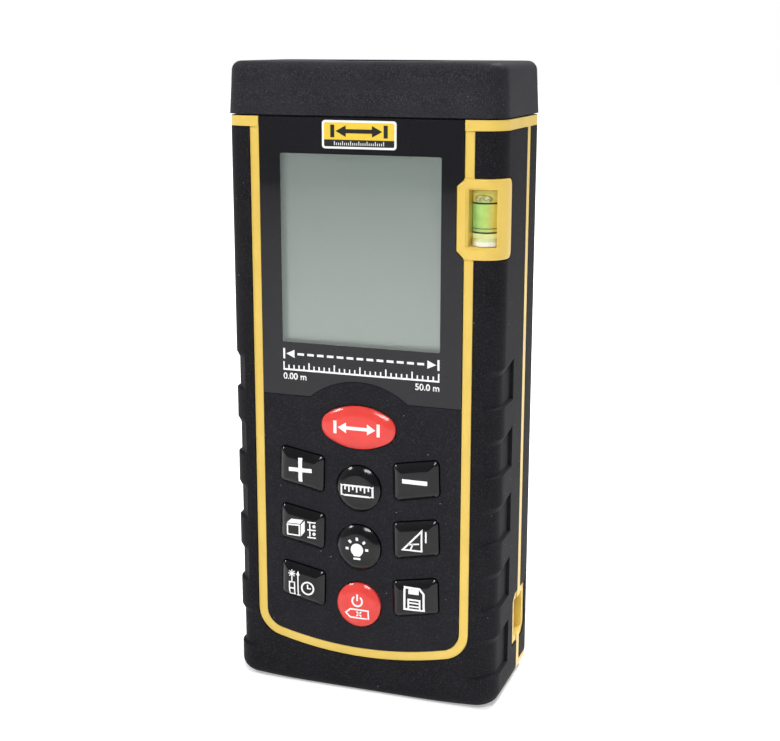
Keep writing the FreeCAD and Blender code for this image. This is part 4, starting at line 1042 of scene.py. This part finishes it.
# ================================================================ studio
def make_floor():
    """A pale floor with painted light and painted shade: it glows from just in front of the object backwards,
    most far behind, which washes out the object's shadow, and the glow is weaker to the right; painted shade
    darkens it towards the front.
    """
    bm = bmesh.new()
    left = -FLOOR_HALF
    right = FLOOR_HALF
    corners = ((left, FLOOR_FRONT), (right, FLOOR_FRONT), (right, FLOOR_HALF), (left, FLOOR_HALF))
    bm.faces.new([bm.verts.new((x, y, 0)) for x, y in corners])
    mesh = bpy.data.meshes.new("floor")
    bm.to_mesh(mesh)
    bm.free()
    shader = Shader("floor_paper")
    grain = shader.noise(4.0)
    pale = shader.blend(grain, (0.86, 0.86, 0.86), (0.89, 0.89, 0.89))
    depth = shader.axis("Y")
    # painted shade: the floor darkens towards the front, so the front reflects dim
    painted_front_shade = shader.spread(depth, (FLOOR_FRONT, -0.35), (1.0, 0.0))
    # painted light: the floor glows from just in front of the object backwards, brightest far behind, which
    # washes out its shadow; the glow is weaker to the right
    glow = shader.calc("ADD", shader.spread(depth, (-0.2, -0.03), (0.0, 0.4)),
                       shader.spread(depth, (0.1, 0.6), (0.0, 0.6)))
    glow = shader.calc("MULTIPLY", glow, shader.spread(shader.axis("X"), (0.07, 0.2), (1.0, 0.1)))
    paper = shader.coat(shader.blend(painted_front_shade, pale, (0.7, 0.7, 0.71)), 0.9, Emission_Color=(1, 1, 1),
                        Emission_Strength=glow)
    floor = new_object("floor", mesh, paper)
    floor.location.z = CAD_BOX[0].z


def add_softbox(name, place, size, watts):
    """A soft rectangular light turned to the object."""
    light = bpy.data.lights.new(name, "AREA")
    light.shape = "RECTANGLE"
    light.size, light.size_y = size
    light.energy = watts
    lamp = bpy.data.objects.new(name, light)
    lamp.location = place
    lamp.rotation_euler = (Vector(LIGHT_AIM) - Vector(place)).to_track_quat("-Z", "Y").to_euler()
    bpy.context.scene.collection.objects.link(lamp)


def make_world():
    """Soft surroundings: bright behind to the left, dim in front and to the right, white to the camera."""
    world = bpy.data.worlds.new("studio")
    bpy.context.scene.world = world
    world.use_nodes = True
    tree = world.node_tree
    tree.nodes.clear()
    out = tree.nodes.new("ShaderNodeOutputWorld")
    lit = tree.nodes.new("ShaderNodeBackground")
    seen = tree.nodes.new("ShaderNodeBackground")
    seen.inputs["Color"].default_value = (1, 1, 1, 1)
    mix = tree.nodes.new("ShaderNodeMixShader")
    path = tree.nodes.new("ShaderNodeLightPath")
    way = tree.nodes.new("ShaderNodeTexCoord")
    toward = tree.nodes.new("ShaderNodeVectorMath")
    toward.operation = "DOT_PRODUCT"
    toward.inputs[1].default_value = WORLD_BRIGHT_WAY
    ramp = tree.nodes.new("ShaderNodeMapRange")
    ramp.inputs["From Min"].default_value = WORLD_RAMP[0]
    ramp.inputs["From Max"].default_value = WORLD_RAMP[1]
    ramp.inputs["To Min"].default_value = WORLD_STRENGTH[0]
    ramp.inputs["To Max"].default_value = WORLD_STRENGTH[1]
    tree.links.new(way.outputs["Generated"], toward.inputs[0])
    tree.links.new(toward.outputs["Value"], ramp.inputs["Value"])
    tree.links.new(ramp.outputs["Result"], lit.inputs["Strength"])
    tree.links.new(path.outputs["Is Camera Ray"], mix.inputs["Fac"])
    tree.links.new(lit.outputs["Background"], mix.inputs[1])
    tree.links.new(seen.outputs["Background"], mix.inputs[2])
    tree.links.new(mix.outputs["Shader"], out.inputs["Surface"])


def make_studio():
    """Floor, lights, surroundings and camera."""
    make_floor()
    make_world()
    for name, place, size, watts in SOFTBOXES:
        add_softbox(name, place, size, watts)
    camera = bpy.data.cameras.new("camera")
    camera.lens = CAMERA_LENS
    camera.clip_start = 0.01
    holder = bpy.data.objects.new("camera", camera)
    holder.location = Vector(CAMERA_PLACE_MM) * MM
    holder.rotation_euler = [math.radians(angle) for angle in CAMERA_TURN_DEG]
    bpy.context.scene.collection.objects.link(holder)
    bpy.context.scene.camera = holder
    bpy.context.scene.view_settings.view_transform = "Standard"


make_studio()
dress_cad_nodes()
make_keys()
make_lens()
make_badge()
make_vial()
make_label_frame()
